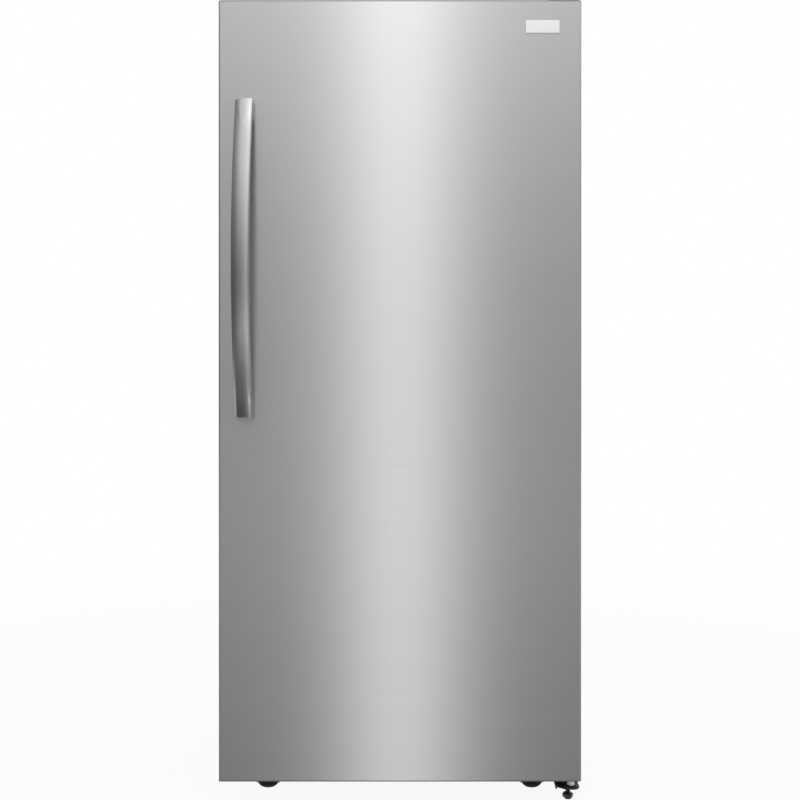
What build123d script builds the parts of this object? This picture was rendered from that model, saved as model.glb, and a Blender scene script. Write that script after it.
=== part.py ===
from build123d import *
import math
import os

# An upright refrigerator with one door, in millimetres. +Z is up, the door faces -Y, and the
# hinges are on the +X side. The origin is on the floor, in the middle of the overall footprint.

# Overall sizes
door_width = 838.0
door_height = 1803.0
door_thick = 62.0
door_lift = 58.0              # underside of the door above the floor
cabinet_depth = 602.0
cabinet_lift = 50.0           # underside of the cabinet above the floor
side_step = 2.0               # each cabinet side stands in from the door's edge
top_step = 6.0                # the cabinet's top stands below the door's top
gasket_gap = 12.0             # between the door's back and the cabinet's front
sheet = 1.0                   # painted and stainless sheet
skin = 1.5                    # moulded plastic skins
deck_plate = 2.0              # rails and trays
tube_sides = 6                # refrigerant tubing is drawn with few sides
fit = 0.2                     # clearance between parts that are fixed together
slide_gap = 0.3               # clearance between parts that slide or swing past each other
shaft_gap = 0.05              # radial clearance on a shaft

# Insulation, from the cabinet's outside to the liner's inner face
wall_side = 61.0
wall_top = 62.0
wall_floor = 70.0
wall_back = 70.0
liner_lip = 16.0              # liner's front lip beside the opening
liner_corner = 20.0
top_bend = 3.0
ledge_front = 30.0            # ledges under the crisper cover, behind the shelves' front edge
ledge_back = 25.0             # and before the step
ledge_high = 9.0
ledge_cut = 6.0
bead_x = 250.0                # stiffening beads pressed in the back panel
bead_wide = 8.0
bead_end = 60.0
seam_rise = 14.0              # seam between the back panel and the rear cover, above the compartment
seam_gap = 0.5

# Machine compartment, low at the back
comp_depth = 165.0
comp_height = 225.0
comp_wall = 55.0
comp_roof = 65.0

# Door
door_bend = 5.0
door_hem = 14.0
cap_lip = 3.0
cap_ease = 2.0
cap_skirt = 16.0
cap_wall = 2.5
boss_wall = 4.0
gasket_inset = 17.0
gasket_width = 22.0
gasket_base = 5.0
gasket_neck = 10.0
gasket_lip = 2.5              # thickness of the gasket's base on the door liner
gasket_head = 17.0
dyke_inset = 79.0             # outside of the liner's raised ring, from the door's edge
dyke_width = 28.0
dyke_rise = 54.0
dyke_round = 24.0
dyke_ease = 5.0
pan_rise = 6.0

# Handle
handle_reach = 64.0           # front of the bow, from the door's face
handle_length = 730.0
handle_bow = 42.0
handle_side_bow = 3.0
handle_wide = 41.0
handle_thick = 15.0
handle_crown = 5.0
handle_round = 4.0
handle_foot = 46.0
foot_step = 1.0               # each foot is this much narrower than the bar, on both sides
handle_inset = 61.0           # centre line at the ends, from the door's left edge
handle_top_drop = 233.0       # top end below the door's top
stud_r = 6.0
stud_deep = 12.0
stud_grip = 9.0
stud_collar = 3.0

# Plate near the upper right corner of the door
plate_wide = 79.5
plate_high = 29.5
plate_thick = 2.2
plate_inset = 50.5
plate_drop = 47.5
plate_bevel = 1.2
plate_round = 1.5

# Hinges
hinge_inset = 19.6            # axis from the door's right edge
hinge_back = 32.0             # axis from the door's front face
pin_r = 6.0
pin_grip = 20.0
bush_r = 9.0
bush_flange_r = 11.5
bush_flange = 0.8
bush_drop = 15.0              # lower bushing below the door
bush_tail = 4.0               # bushing beyond the pin's tip
top_leaf = 3.0
leaf_gap = 1.5                # over the door's top
leaf_nose = 13.0
leaf_base = 75.0
leaf_wide = 50.0
leaf_step = 4.0               # the upper leaf bends down this far behind the cabinet's front
leaf_side = 3.0
leaf_tail = 12.0              # the tongue starts this far in from the leaf's inner edge
leaf_shoulder = 10.0
cover_wall = 1.8
cover_rise = 30.0
cover_back = 95.0
cover_slope = 46.0
cover_gap = 0.7               # before the leaf's nose
cover_low = 1.2               # over the door
cover_over = 0.5              # over the leaf
cover_side = 4.0
cover_rest = 3.0              # the skirt over the door ends this far before the cabinet
cover_round = 1.6
nose_r = 20.0
leaf_thick = 4.0
leaf_below = 20.5             # top of the lower leaf below the door
bracket_wide = 53.5
bracket_deep = 34.0
bracket_apron = 7.0
bracket_cheek = 11.0
bracket_web = 41.0
bracket_sheet = 3.0           # apron and cheeks
bracket_slope = 5.0
web_round = 6.0
collar_wall = 2.0             # round collar that carries the washer
collar_high = 2.5
lug_tall = 10.0               # stop lug on the leaf
stop_play = 1.0               # degrees past the open position
stop_plate = 3.0
stop_gap = 0.5                # beside the bushing
stop_in = 4.0
stop_half = 11.0
stop_low = 6.0                # tab over the leaf
stop_r = 12.5
stop_size = 6.0
door_open = 125.0
screw_r = 3.0
screw_head_r = 6.0
screw_head = 4.0
screw_long = 14.0
screw_back = 24.0             # first upper screw behind the cabinet's front
screw_pitch = 12.0
screw_near = 3.0              # upper screws beside the hinge axis
screw_far = 24.0
low_screw_rise = 7.0          # lower hinge screws above the leaf
low_screw_left = 10.0         # from the bracket's edges
low_screw_right = 11.0

# Levelling leg
leg_r = 5.5
leg_flats = 22.0
leg_foot = 11.5
leg_chamfer = 3.0
leg_back = 50.0               # axis behind the door's front face
leg_inset = 23.5              # axis from the door's right edge
leg_top = 40.0
leg_boss_r = 9.5
leg_boss = 9.0                # threaded boss under the bracket
pad_r = 7.5
pad_high = 2.5

# Rollers
roller_r = 20.0
axle_r = 4.0
axle_head = 2.5
axle_nut_r = 7.0
front_roller_wide = 50.0
front_roller_round = 10.0
front_roller_back = 114.5     # axle behind the door's front face
front_roller_x = 319.0
rear_roller_wide = 30.0
rear_roller_round = 2.0
rear_roller_x = 350.0
rear_roller_inset = 50.0      # axle from the cabinet's back
cheek_gap = 1.5
cheek_half = 13.0
cheek_rise = 4.0              # the cheeks narrow from this far above the axle
cheek_foot = 5.0
cheek_wall = 2.5              # under the axle
rail_deep = 72.0
rail_low = 31.0
tray_lip = 14.0

# Air duct on the liner's back wall
duct_wide = 430.0
duct_deep = 64.0
duct_low = 20.0               # above the step in the liner
duct_drop = 56.0              # below the ceiling
duct_round = 12.0
duct_wall = 2.0
vent_rows = 4
vent_wide = 62.0
vent_high = 7.0
vent_pitch = 14.0
vent_inset = 62.0             # middle of the slots from the duct's side
vent_first = 105.0            # lowest slot above the fan
vent_last = 25.0              # highest pair below the duct's top
intake_rise = 16.0            # return air slots above the duct's lower end
intake_in = 35.0

# Evaporator and its fan
evap_tube = 4.0
evap_rows = 6
evap_pitch = 30.0
evap_half = 165.0
evap_fins = 8
fin_thick = 1.5
fin_deep = 44.0
fin_core = 22.0
evap_rise = 60.0              # lowest tube above the duct's lower end
evap_gap = 8.0                # fins behind the duct's front wall
fan_lift = 425.0              # evaporator fan axis above the liner's step
evap_fan_r = 52.0
motor_r = 24.0
motor_long = 22.0
spindle_r = 2.5
spindle_long = 20.0
motor_ease = 3.0
motor_plate = 3.0
motor_plate_x = 46.0
motor_plate_z = 34.0
motor_corner = 8.0
evap_fan_out = 11.0           # middle of the blades before the motor
evap_hub_r = 14.0
evap_fan_deep = 18.0
evap_blades = 5
blade_thick = 1.6
blade_share = 0.6             # blade's width against the room it has at the tip

# Compressor
comp_x = -230.0
can_r = 74.0
can_high = 158.0
seam_r = 78.0
seam_high = 6.0
seam_at = 82.0
dome_high = 14.0
dome_in = 20.0
foot_margin = 14.0
foot_corner = 10.0
box_in = 8.0                  # terminal box, inside and outside of the can
box_out = 20.0
box_half = 26.0
box_low = 40.0
box_high = 92.0
box_ease = 4.0
mount_high = 12.0
mount_r = 11.0
mount_neck_r = 6.0
mount_sides = 12              # the grommets are drawn with few sides
mount_half_x = 66.0
mount_half_y = 52.0
foot_plate = 3.0
port_r = 3.2
port_x = 30.0
port_y = 37.0
port_deep = 60.0
port_over = 2.0
mount_lip = 4.0

# Condenser, its fan and the drain pan
cond_tube = 3.2
cond_rows = 4
cond_pitch = 34.0
cond_low = 98.0
cond_left = 50.0
cond_right = 342.0
cond_plate_in = 14.0
cond_plate_deep = 60.0
cond_end_plate = 1.5
cond_plate_over = 12.0
fan_hole = 64.0
cond_fan_r = 60.0
cond_hub_r = 15.0
cond_fan_deep = 20.0
cond_blades = 4
cond_fan_x = -8.0
shroud_wide = 146.0
shroud_thick = 3.0
shroud_foot = 24.0
shroud_rise = 8.0
motor_back = 22.0             # motor behind the shroud
motor_tip = 8.0               # its spindle's tip before the shroud
arm_wide = 8.0
arm_deep = 4.0
arm_step = 26.0
post_out = 5.0
post_start = 33.5
post_end = 1.5
pan_high = 26.0
pan_wall = 2.0
pan_corner = 10.0
pan_side_gap = 4.0
pan_end_gap = 10.0
drier_r = 9.0
drier_long = 46.0
drier_rise = 14.0
drier_ease = 4.0
thin_line = 2.2
line_x = 26.0
line_bend = 8.0
line_drop = 22.0              # discharge line below the compartment's roof
suction_in = 44.0

# Rear cover
gland_inset = 60.0
gland_rise = 40.0
gland_r = 13.0
cord_r = 4.5
gland_out = 6.0
louvre_wide = 8.0
louvre_high = 120.0
louvre_pitch = 22.0
louvre_count = 7

# Shelves
shelf_count = 4
shelf_first = 2               # slot number of the lowest shelf
shelf_side_gap = 6.0
shelf_front = 117.0           # front edge behind the cabinet's front
shelf_back_gap = 8.0
rim_wide = 15.0
rim_high = 11.0
trim_deep = 12.0
trim_high = 22.0
glass_thick = 4.0
glass_seat = 7.0
glass_lip = 6.0               # ledge under the glass
rim_corner = 12.0
trim_ease = 3.0
arm_x = 270.0
arm_thick = 3.0
arm_tall = 95.0
arm_front_tall = 12.0
arm_foot = 40.0
hook_deep = 3.0
track_wide = 20.0
track_deep = 8.0
track_wall = 1.5
slot_pitch = 75.0
slot_wide = 4.0
slot_high = 14.0
slot_end = 30.0               # middle of the end slots from the track's ends
track_low = 62.0              # lower end above the liner's step
track_drop = 120.0            # least room over the tracks
hook_drop = 8.0

# Crispers and their cover
crisper_cover_high = 16.0
cover_top_gap = 2.0           # below the level of the liner's step
cover_side_gap = 2.0
cover_trim = 20.0
cover_edge = 4.0
hanger_drop = 22.0
hanger_thick = 3.0
hanger_ledge = 10.0
crisper_wall = 2.5
crisper_rim = 8.0
crisper_floor_gap = 6.0
crisper_face = 10.0
crisper_draft = 2.0
crisper_corner = 12.0
crisper_side_gap = 1.5
crisper_back_gap = 8.0
crisper_rim_thick = 3.0
face_round = 6.0
pull_in = 60.0                # finger pull in the crisper's front
pull_top = 22.0
pull_low = 46.0
pull_cut = 7.0
humid_travel = 18.0
humid_tab = 14.0
groove_half = 3.0
groove_deep = 4.0
tab_out = 3.5
tab_half = 6.0
tab_round = 2.0
ridge_out = 5.5
ridge_half = 1.5

# Door bins
bin_count = 4
bin_first = 118.0             # floor of the lowest bin above the liner's floor
bin_last = 433.0              # floor of the highest bin below the liner's ceiling
bin_high = 112.0
bin_out = 103.0               # outer face behind the cabinet's front
bin_wall = 2.2
bin_hang = 74.0               # lug height above the bin's floor
bin_round = 8.0
bin_draft = 2.0
lug_wide = 12.0
lug_deep = 22.0
lug_high = 12.0
lug_edge = 4.0
lug_out = 8.0                 # behind the door liner's inner face
ear_thick = 3.0
ear_front = 2.0               # the bin's ears reach past the lugs
ear_back = 4.0
bin_back_gap = 2.0
bin_side_gap = 1.0
bin_lip_deep = 4.5
bin_lip_high = 16.0

# Control panel
panel_wide = 380.0
panel_front = 67.0            # front face behind the cabinet's front
panel_deep = 300.0
panel_high = 44.0
panel_ease = 6.0
panel_tail = 60.0
lens_wide = 260.0
lens_deep = 90.0
lens_sink = 5.0
lens_drop = 2.0
lens_back = 110.0             # middle behind the panel's face
lens_corner = 5.0
knob_r = 16.0
knob_long = 11.0
knob_grip = 4.0               # the grip stands this far out of the skirt
knob_ease = 1.5
grip_half = 3.0
grip_in = 1.0
switch_x = 150.0
switch_r = 3.0
switch_out = 0.3
switch_hole = 34.0
switch_tail = 20.0
switch_ease = 1.0

# Places worked out from the sizes above
overall_depth = handle_reach + door_thick + gasket_gap + cabinet_depth
door_front = handle_reach - overall_depth / 2
door_back = door_front + door_thick
cab_front = door_back + gasket_gap
cab_back = overall_depth / 2
door_x = door_width / 2
cab_x = door_x - side_step
door_top = door_lift + door_height
cab_top = door_top - top_step
in_x = cab_x - wall_side
in_low = cabinet_lift + wall_floor
in_top = cab_top - wall_top
in_back = cab_back - wall_back
comp_front = cab_back - comp_depth
comp_top = cabinet_lift + comp_height
step_y = comp_front - comp_wall
step_z = comp_top + comp_roof
comp_mid = (comp_front + cab_back - sheet) / 2
lip_x = in_x + liner_lip
hinge_x = door_x - hinge_inset
hinge_y = door_front + hinge_back
leaf_top = door_lift - leaf_below
leg_x = door_x - leg_inset
leg_y = door_front + leg_back
front_axle_y = door_front + front_roller_back
rear_axle_y = cab_back - rear_roller_inset
duct_front = in_back - duct_deep
duct_base = step_z + duct_low
duct_top = in_top - duct_drop
tray_top = cabinet_lift + deck_plate
shelf_y0 = cab_front + shelf_front
shelf_y1 = duct_front - shelf_back_gap
track_base = step_z + track_low
slot_count = 1 + int((in_top - track_drop - track_base - 2 * slot_end) / slot_pitch)
shelf_step = (slot_count - 1 - shelf_first) // (shelf_count - 1)
dyke_x = door_x - dyke_inset
dyke_low = in_low + (in_x - dyke_x)
dyke_top = in_top - (in_x - dyke_x)
dyke_face = door_back + dyke_rise
fan_z = step_z + fan_lift
evap_low = duct_base + evap_rise
evap_y = duct_front + duct_wall + fin_deep / 2 + evap_gap
cond_fan_z = tray_top + shroud_wide / 2 + shroud_rise
cover_z = step_z - crisper_cover_high - cover_top_gap
handle_x = handle_inset - door_x
handle_z1 = door_top - handle_top_drop
handle_z0 = handle_z1 - handle_length
bin_face = cab_front + bin_out
pan_face = door_back + pan_rise


def span(x, y, z):
    """A box between two corners, given as three (low, high) pairs."""
    size = [high - low for low, high in (x, y, z)]
    mid = [(high + low) / 2 for low, high in (x, y, z)]
    return Pos(*mid) * Box(*size)


def rod_x(r, x0, x1, y, z):
    return Pos((x0 + x1) / 2, y, z) * Rot(0, 90, 0) * Cylinder(r, x1 - x0)


def rod_y(r, y0, y1, x, z):
    return Pos(x, (y0 + y1) / 2, z) * Rot(90, 0, 0) * Cylinder(r, y1 - y0)


def rod_z(r, z0, z1, x, y):
    return Pos(x, y, (z0 + z1) / 2) * Cylinder(r, z1 - z0)


def nut_x(r, x0, x1, y, z):
    """A hexagonal head or nut along X."""
    return Pos(x0, y, z) * Rot(0, 90, 0) * extrude(RegularPolygon(r, 6), x1 - x0)


def nut_y(r, y0, y1, x, z):
    """A hexagonal collar along Y."""
    return Pos(x, y1, z) * Rot(90, 0, 0) * extrude(RegularPolygon(r, 6), y1 - y0)


def side_profile(points, x0, x1):
    """A solid with an outline of (y, z) points, running along X."""
    face = make_face(Polyline(*[(0, y, z) for y, z in points], close=True))
    return Pos(x0, 0, 0) * extrude(face, amount=x1 - x0, dir=(1, 0, 0))


def tube(points, radius, bend):
    """A bar of few sides whose elbows are cut across, starting bend away from each corner."""
    path = [Vector(*points[0])]
    for before, at, after in zip(points, points[1:], points[2:]):
        for other in (before, after):
            run = Vector(*other) - Vector(*at)
            path.append(Vector(*at) + run.normalized() * bend)
    path.append(Vector(*points[-1]))
    line = Polyline(*path)
    start = Plane(line @ 0, z_dir=line % 0)
    return sweep(start * RegularPolygon(radius, tube_sides), path=line, transition=Transition.RIGHT)


def flip_x(part):
    return mirror(part, about=Plane.YZ)


def room(x, y, z, cut, size):
    """A space with all edges eased but those of its open front. cut is fillet or chamfer."""
    wide, deep, high = [b - a for a, b in (x, y, z)]
    front = Rectangle(wide, high)
    front = extrude(Plane.XZ * cut(front.vertices(), size), deep / 2, both=True)
    plan = Rectangle(wide, deep)
    plan = extrude(cut(plan.vertices().group_by(Axis.Y)[-1], size), high / 2, both=True)
    side = Rectangle(deep, high)
    side = extrude(Plane.YZ * cut(side.vertices().group_by(Axis.X)[-1], size), wide / 2, both=True)
    return Pos(*[(a + b) / 2 for a, b in (x, y, z)]) * (front & plan & side)


# Cabinet shell

def side_panel():
    back = cab_back - sheet
    outer = Pos((lip_x + cab_x) / 2, (cab_front + back) / 2) * Rectangle(cab_x - lip_x, back - cab_front)
    corner = outer.vertices().group_by(Axis.X)[-1].sort_by(Axis.Y)[0]
    outer = fillet(corner, top_bend)
    inside = Pos((lip_x + cab_x - sheet) / 2, (cab_front + sheet + back) / 2) * Rectangle(
        cab_x - sheet - lip_x, back - cab_front - sheet)
    corner = inside.vertices().group_by(Axis.X)[-1].sort_by(Axis.Y)[0]
    inside = fillet(corner, top_bend - sheet)
    low = Pos(0, 0, cabinet_lift) * extrude(outer - inside, in_top + liner_lip - cabinet_lift)
    high = span((cab_x - sheet, cab_x), (cab_front + top_bend, back), (in_top, cab_top - sheet))
    return low + high


def top_panel():
    y1 = cab_back - sheet
    outer = side_profile([(cab_front, in_top + liner_lip), (cab_front, cab_top), (y1, cab_top),
                          (y1, in_top + liner_lip)], -cab_x, cab_x)
    bend = outer.edges().filter_by(Axis.X).group_by(Axis.Z)[-1].sort_by(Axis.Y)[0]
    outer = fillet(bend, top_bend)
    y0 = cab_front + sheet
    inside = side_profile([(y0, in_top), (y0, cab_top - sheet), (y1 + 1, cab_top - sheet),
                           (y1 + 1, in_top)], -cab_x - 1, cab_x + 1)
    bend = inside.edges().filter_by(Axis.X).group_by(Axis.Z)[-1].sort_by(Axis.Y)[0]
    inside = fillet(bend, top_bend - sheet)
    return outer - inside - hinge_screw_holes()


def back_panel():
    low = comp_top + seam_rise
    panel = span((-cab_x, cab_x), (cab_back - sheet, cab_back), (low, cab_top))
    bead = span((-bead_wide / 2, bead_wide / 2), (cab_back - sheet / 2, cab_back),
                (low + bead_end, cab_top - bead_end))
    for x in (-bead_x, bead_x):
        panel -= Pos(x, 0, 0) * bead
    return panel


def base_deck():
    y0 = cab_front + top_bend
    y1 = cab_back - sheet
    x = (sheet - cab_x, cab_x - sheet)
    low = span(x, (y0, comp_front), (cabinet_lift, cabinet_lift + sheet))
    wall = span(x, (comp_front - sheet, comp_front), (cabinet_lift, comp_top + sheet))
    roof = span(x, (comp_front - sheet, y1), (comp_top, comp_top + sheet))
    return low + wall + roof


def roller_fork(x, wide, axle_y, top):
    """Two cheeks that hold an axle, hanging from a plate above."""
    low = roller_r - axle_r - cheek_wall
    side = roller_r + cheek_rise
    cheek = side_profile([(axle_y - cheek_half, top), (axle_y - cheek_half, side), (axle_y - cheek_foot, low),
                          (axle_y + cheek_foot, low), (axle_y + cheek_half, side), (axle_y + cheek_half, top)],
                         0, deck_plate)
    near = x - wide / 2 - cheek_gap - deck_plate
    far = x + wide / 2 + cheek_gap
    hole = rod_x(axle_r, near - 1, far + deck_plate + 1, axle_y, roller_r)
    return (Pos(near, 0, 0) * cheek + Pos(far, 0, 0) * cheek) - hole


def front_rail():
    y1 = cab_front + rail_deep
    flange = span((-lip_x, lip_x), (cab_front, cab_front + sheet), (cabinet_lift, in_low - liner_lip))
    top = span((-cab_x, cab_x), (cab_front, y1), (cabinet_lift - deck_plate, cabinet_lift))
    front = span((-cab_x, cab_x), (cab_front, cab_front + deck_plate), (rail_low, cabinet_lift))
    rail = flange + top + front
    for x in (-front_roller_x, front_roller_x):
        rail += roller_fork(x, front_roller_wide, front_axle_y, cabinet_lift - deck_plate)
    return rail - hinge_screw_holes()


def compressor_tray():
    x = cab_x - sheet
    y1 = cab_back - sheet
    tray = span((-x, x), (comp_front, y1), (cabinet_lift, tray_top))
    tray += span((-x, x), (comp_front, comp_front + deck_plate), (cabinet_lift, tray_top + tray_lip))
    for side in (-rear_roller_x, rear_roller_x):
        tray += roller_fork(side, rear_roller_wide, rear_axle_y, cabinet_lift)
    return tray


# Rollers and axles

def roller(wide, edge):
    """A wheel along X, with both edges of its tread cut back."""
    x = wide / 2
    bore = axle_r + shaft_gap
    outline = Polyline((-x, bore), (-x, roller_r - edge), (edge - x, roller_r), (x - edge, roller_r),
                       (x, roller_r - edge), (x, bore), close=True)
    return revolve(make_face(outline), Axis.X)


def roller_places():
    front = [(x, front_axle_y, front_roller_wide) for x in (-front_roller_x, front_roller_x)]
    rear = [(x, rear_axle_y, rear_roller_wide) for x in (-rear_roller_x, rear_roller_x)]
    return front + rear


def roller_axles():
    """Axle bolts, each with a head and a nut outside the cheeks."""
    axles = []
    for x, y, wide in roller_places():
        half = wide / 2 + cheek_gap + deck_plate
        axle = rod_x(axle_r, x - half, x + half, y, roller_r)
        axle += nut_x(axle_nut_r, x - half - axle_head, x - half, y, roller_r)
        axle += nut_x(axle_nut_r, x + half, x + half + axle_head, y, roller_r)
        axles.append(axle)
    return axles


# Insulation and liner

def liner_rooms(grow, cut, size):
    """The refrigerated space before and above the step, with every wall moved out by grow."""
    x = (-in_x - grow, in_x + grow)
    top = in_top + grow
    low = room(x, (cab_front, step_y + grow), (in_low - grow, top), cut, size)
    high = room(x, (cab_front, in_back + grow), (step_z - grow, top), cut, size)
    return [low, high]


def liner_outside():
    """The liner's hidden outer surface, with flats where its inside is rounded."""
    low, high = liner_rooms(skin, chamfer, (liner_corner + skin) * (2 - math.sqrt(2)))
    return low + high


def liner_ledges():
    """Rails moulded on the side walls, which carry the crisper cover."""
    ledge = span((in_x - hanger_ledge, in_x + skin / 2), (shelf_y0 + ledge_front, step_y - ledge_back),
                 (cover_z - hanger_drop - ledge_high, cover_z - hanger_drop))
    low = ledge.edges().filter_by(Axis.Y).group_by(Axis.Z)[0].sort_by(Axis.X)[0]
    ledge = chamfer(low, ledge_cut)
    return [ledge, flip_x(ledge)]


def inner_liner():
    lip = span((-lip_x, lip_x), (cab_front, cab_front + sheet), (in_low - liner_lip, in_top + liner_lip))
    shell = liner_outside() + lip
    for space in liner_rooms(0, fillet, liner_corner):
        shell -= space
    for ledge in liner_ledges():
        shell += ledge
    return shell


def cabinet_insulation():
    y1 = cab_back - sheet
    x = cab_x - sheet
    low = cabinet_lift + sheet
    plan = Pos(0, (cab_front + sheet + y1) / 2) * Rectangle(2 * x, y1 - cab_front - sheet)
    plan = chamfer(plan.vertices().group_by(Axis.Y)[0], top_bend - sheet)
    foam = Pos(0, 0, low) * extrude(plan, cab_top - sheet - low)
    front = foam.edges().filter_by(Axis.X).group_by(Axis.Z)[-1].sort_by(Axis.Y)[0]
    foam = chamfer(front, top_bend - sheet)
    foam -= span((-x - 1, x + 1), (comp_front - sheet, y1 + 1), (low - 1, comp_top + sheet))
    foam -= liner_outside()
    return foam - screw_pockets()


# Hinges

def top_hinge_bracket():
    over = door_top + leaf_gap
    y_nose = hinge_y - leaf_nose
    y_base = cab_front + leaf_base
    y_step = cab_front + leaf_step
    leaf = side_profile([(y_nose, over), (y_nose, over + top_leaf), (y_step + top_leaf, over + top_leaf),
                         (y_step + 2 * top_leaf, cab_top + top_leaf), (y_base, cab_top + top_leaf),
                         (y_base, cab_top), (y_step + top_leaf, cab_top), (y_step, over)],
                        hinge_x - leaf_wide, cab_x - leaf_side)
    x1 = hinge_x + leaf_nose
    plan = Pos(hinge_x, hinge_y) * Circle(leaf_nose)
    tail_x = hinge_x - leaf_wide + leaf_tail
    tongue = make_face(Polyline((hinge_x - leaf_nose, hinge_y), (x1, hinge_y), (x1, y_base), (tail_x, y_base),
                                (tail_x, y_step + leaf_shoulder), (hinge_x - leaf_nose, y_step), close=True))
    plate = leaf & Pos(0, 0, cab_top - 1) * extrude(plan + tongue, door_top + 20 - cab_top)
    pin = rod_z(pin_r, door_top - pin_grip, over + top_leaf / 2, hinge_x, hinge_y)
    return plate + pin - hinge_screw_holes()


def top_screw_places():
    y0 = cab_front + screw_back
    near = hinge_x + screw_near
    return [(near, y0), (hinge_x - screw_far, y0 + screw_pitch), (near, y0 + 3 * screw_pitch)]


def bottom_screw_places():
    x1 = hinge_x + nose_r
    return [(x, leaf_top + low_screw_rise) for x in (x1 - bracket_wide + low_screw_left, x1 - low_screw_right)]


def screw(length):
    """A hexagon screw along Z with the underside of its head at zero."""
    head = extrude(RegularPolygon(screw_head_r, 6), screw_head)
    return head + Pos(0, 0, -length / 2) * Cylinder(screw_r, length)


def hinge_screws():
    top = [Pos(x, y, cab_top + top_leaf) * screw(screw_long) for x, y in top_screw_places()]
    face = cab_front - leaf_thick
    low = [Pos(x, face, z) * Rot(90, 0, 0) * screw(screw_long) for x, z in bottom_screw_places()]
    return top + low


def hinge_screw_holes():
    holes = [rod_z(screw_r, cab_top + top_leaf - screw_long, cab_top + 20, x, y)
             for x, y in top_screw_places()]
    holes += [rod_y(screw_r, cab_front - 20, cab_front - leaf_thick + screw_long, x, z)
              for x, z in bottom_screw_places()]
    return Part() + holes


def screw_pockets():
    """Square pockets in the foam for the tips of the upper hinge's screws."""
    side = 2 * screw_r
    deep = screw_long - top_leaf
    return [Pos(x, y, cab_top - deep / 2) * Box(side, side, deep) for x, y in top_screw_places()]


def top_hinge_cover():
    over = door_top + leaf_gap
    nose = hinge_y - leaf_nose - cover_gap - cover_wall
    rear = cab_front + cover_back
    high = cab_top + cover_rise
    low = door_top + cover_low
    start = over + top_leaf + cover_over + cover_wall
    x0 = hinge_x - leaf_wide - cover_side
    step = cab_front - cover_rest
    outer = side_profile([(nose, low), (nose, start), (nose + cover_slope, high), (rear, high),
                          (rear, cab_top), (step, cab_top), (step, low)], x0, cab_x)
    top = [e for e in outer.edges() if e.center().Z > start - 0.1]
    outer = fillet(top, cover_round)
    w = cover_wall
    inner = side_profile([(nose + w, low - 9), (nose + w, start - w), (nose + w + cover_slope, high - w),
                          (rear - w, high - w), (rear - w, low - 9)], x0 + w, cab_x - w)
    return outer - inner


def bottom_hinge_bracket():
    x1 = hinge_x + nose_r
    x1 = min(x1, door_x)
    x0 = x1 - bracket_wide
    y0 = cab_front - bracket_deep
    z0 = leaf_top - leaf_thick
    plan = Pos(hinge_x, hinge_y) * Circle(nose_r)
    plan += Pos((x0 + x1) / 2, (y0 + cab_front) / 2) * Rectangle(x1 - x0, bracket_deep)
    plan += Pos(hinge_x, (hinge_y + cab_front) / 2) * Rectangle(2 * nose_r, cab_front - hinge_y)
    leaf = Pos(0, 0, z0) * extrude(plan, leaf_thick)
    leaf &= span((x0, x1), (hinge_y - nose_r, cab_front), (z0, leaf_top))
    web = span((x0, x1), (cab_front - leaf_thick, cab_front), (rail_low, rail_low + bracket_web))
    corners = web.edges().filter_by(Axis.Y).group_by(Axis.Z)[-1]
    web = fillet(corners, web_round)
    apron = span((x0, hinge_x - nose_r + web_round), (y0, y0 + bracket_sheet),
                 (z0 - bracket_apron, leaf_top))
    cheek = side_profile([(y0, z0 - bracket_cheek), (y0, leaf_top), (cab_front, leaf_top),
                          (cab_front, rail_low), (y0 + bracket_slope, z0 - bracket_cheek)],
                         0, bracket_sheet)
    bracket = leaf + web + apron + Pos(x0, 0, 0) * cheek + Pos(x1 - bracket_sheet, 0, 0) * cheek
    collar = rod_z(bush_r + collar_wall, z0, leaf_top + collar_high, hinge_x, hinge_y)
    pin = rod_z(pin_r, z0, door_lift + pin_grip, hinge_x, hinge_y)
    half = math.degrees(math.atan2(stop_size / 2, stop_r))
    at = math.radians(door_open + 4 * half + stop_play)
    lug = Pos(hinge_x + stop_r * math.cos(at), hinge_y + stop_r * math.sin(at), leaf_top + lug_tall / 2)
    lug = lug * Rot(0, 0, math.degrees(at)) * Box(stop_size, stop_size, lug_tall)
    boss = rod_z(leg_boss_r, z0 - leg_boss, z0, leg_x, leg_y)
    bracket = bracket + collar + lug + pin + boss
    bracket -= rod_z(leg_r + shaft_gap, z0 - leg_boss - 1, leaf_top + 1, leg_x, leg_y)
    return bracket - hinge_screw_holes()


def hinge_washer():
    low = leaf_top + collar_high
    high = door_lift - bush_drop
    return rod_z(bush_r, low, high, hinge_x, hinge_y) - rod_z(pin_r, low - 1, high + 1, hinge_x, hinge_y)


def door_bushings():
    bore = pin_r + shaft_gap
    reach = pin_grip + bush_tail
    top = rod_z(bush_r, door_top - reach, door_top, hinge_x, hinge_y)
    top += rod_z(bush_flange_r, door_top, door_top + bush_flange, hinge_x, hinge_y)
    top -= rod_z(bore, door_top - reach - 1, door_top + 2, hinge_x, hinge_y)
    low = rod_z(bush_r, door_lift - bush_drop, door_lift + reach, hinge_x, hinge_y)
    low -= rod_z(bore, door_lift - bush_drop - 1, door_lift + reach + 1, hinge_x, hinge_y)
    return [top, low]


def bushing_room():
    """What the two bushings and the hinge pins take out of the door."""
    top = rod_z(bush_r, door_top - pin_grip - bush_tail, door_top + 5, hinge_x, hinge_y)
    low = rod_z(bush_r, door_lift - 5, door_lift + pin_grip + bush_tail, hinge_x, hinge_y)
    return top + low


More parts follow.
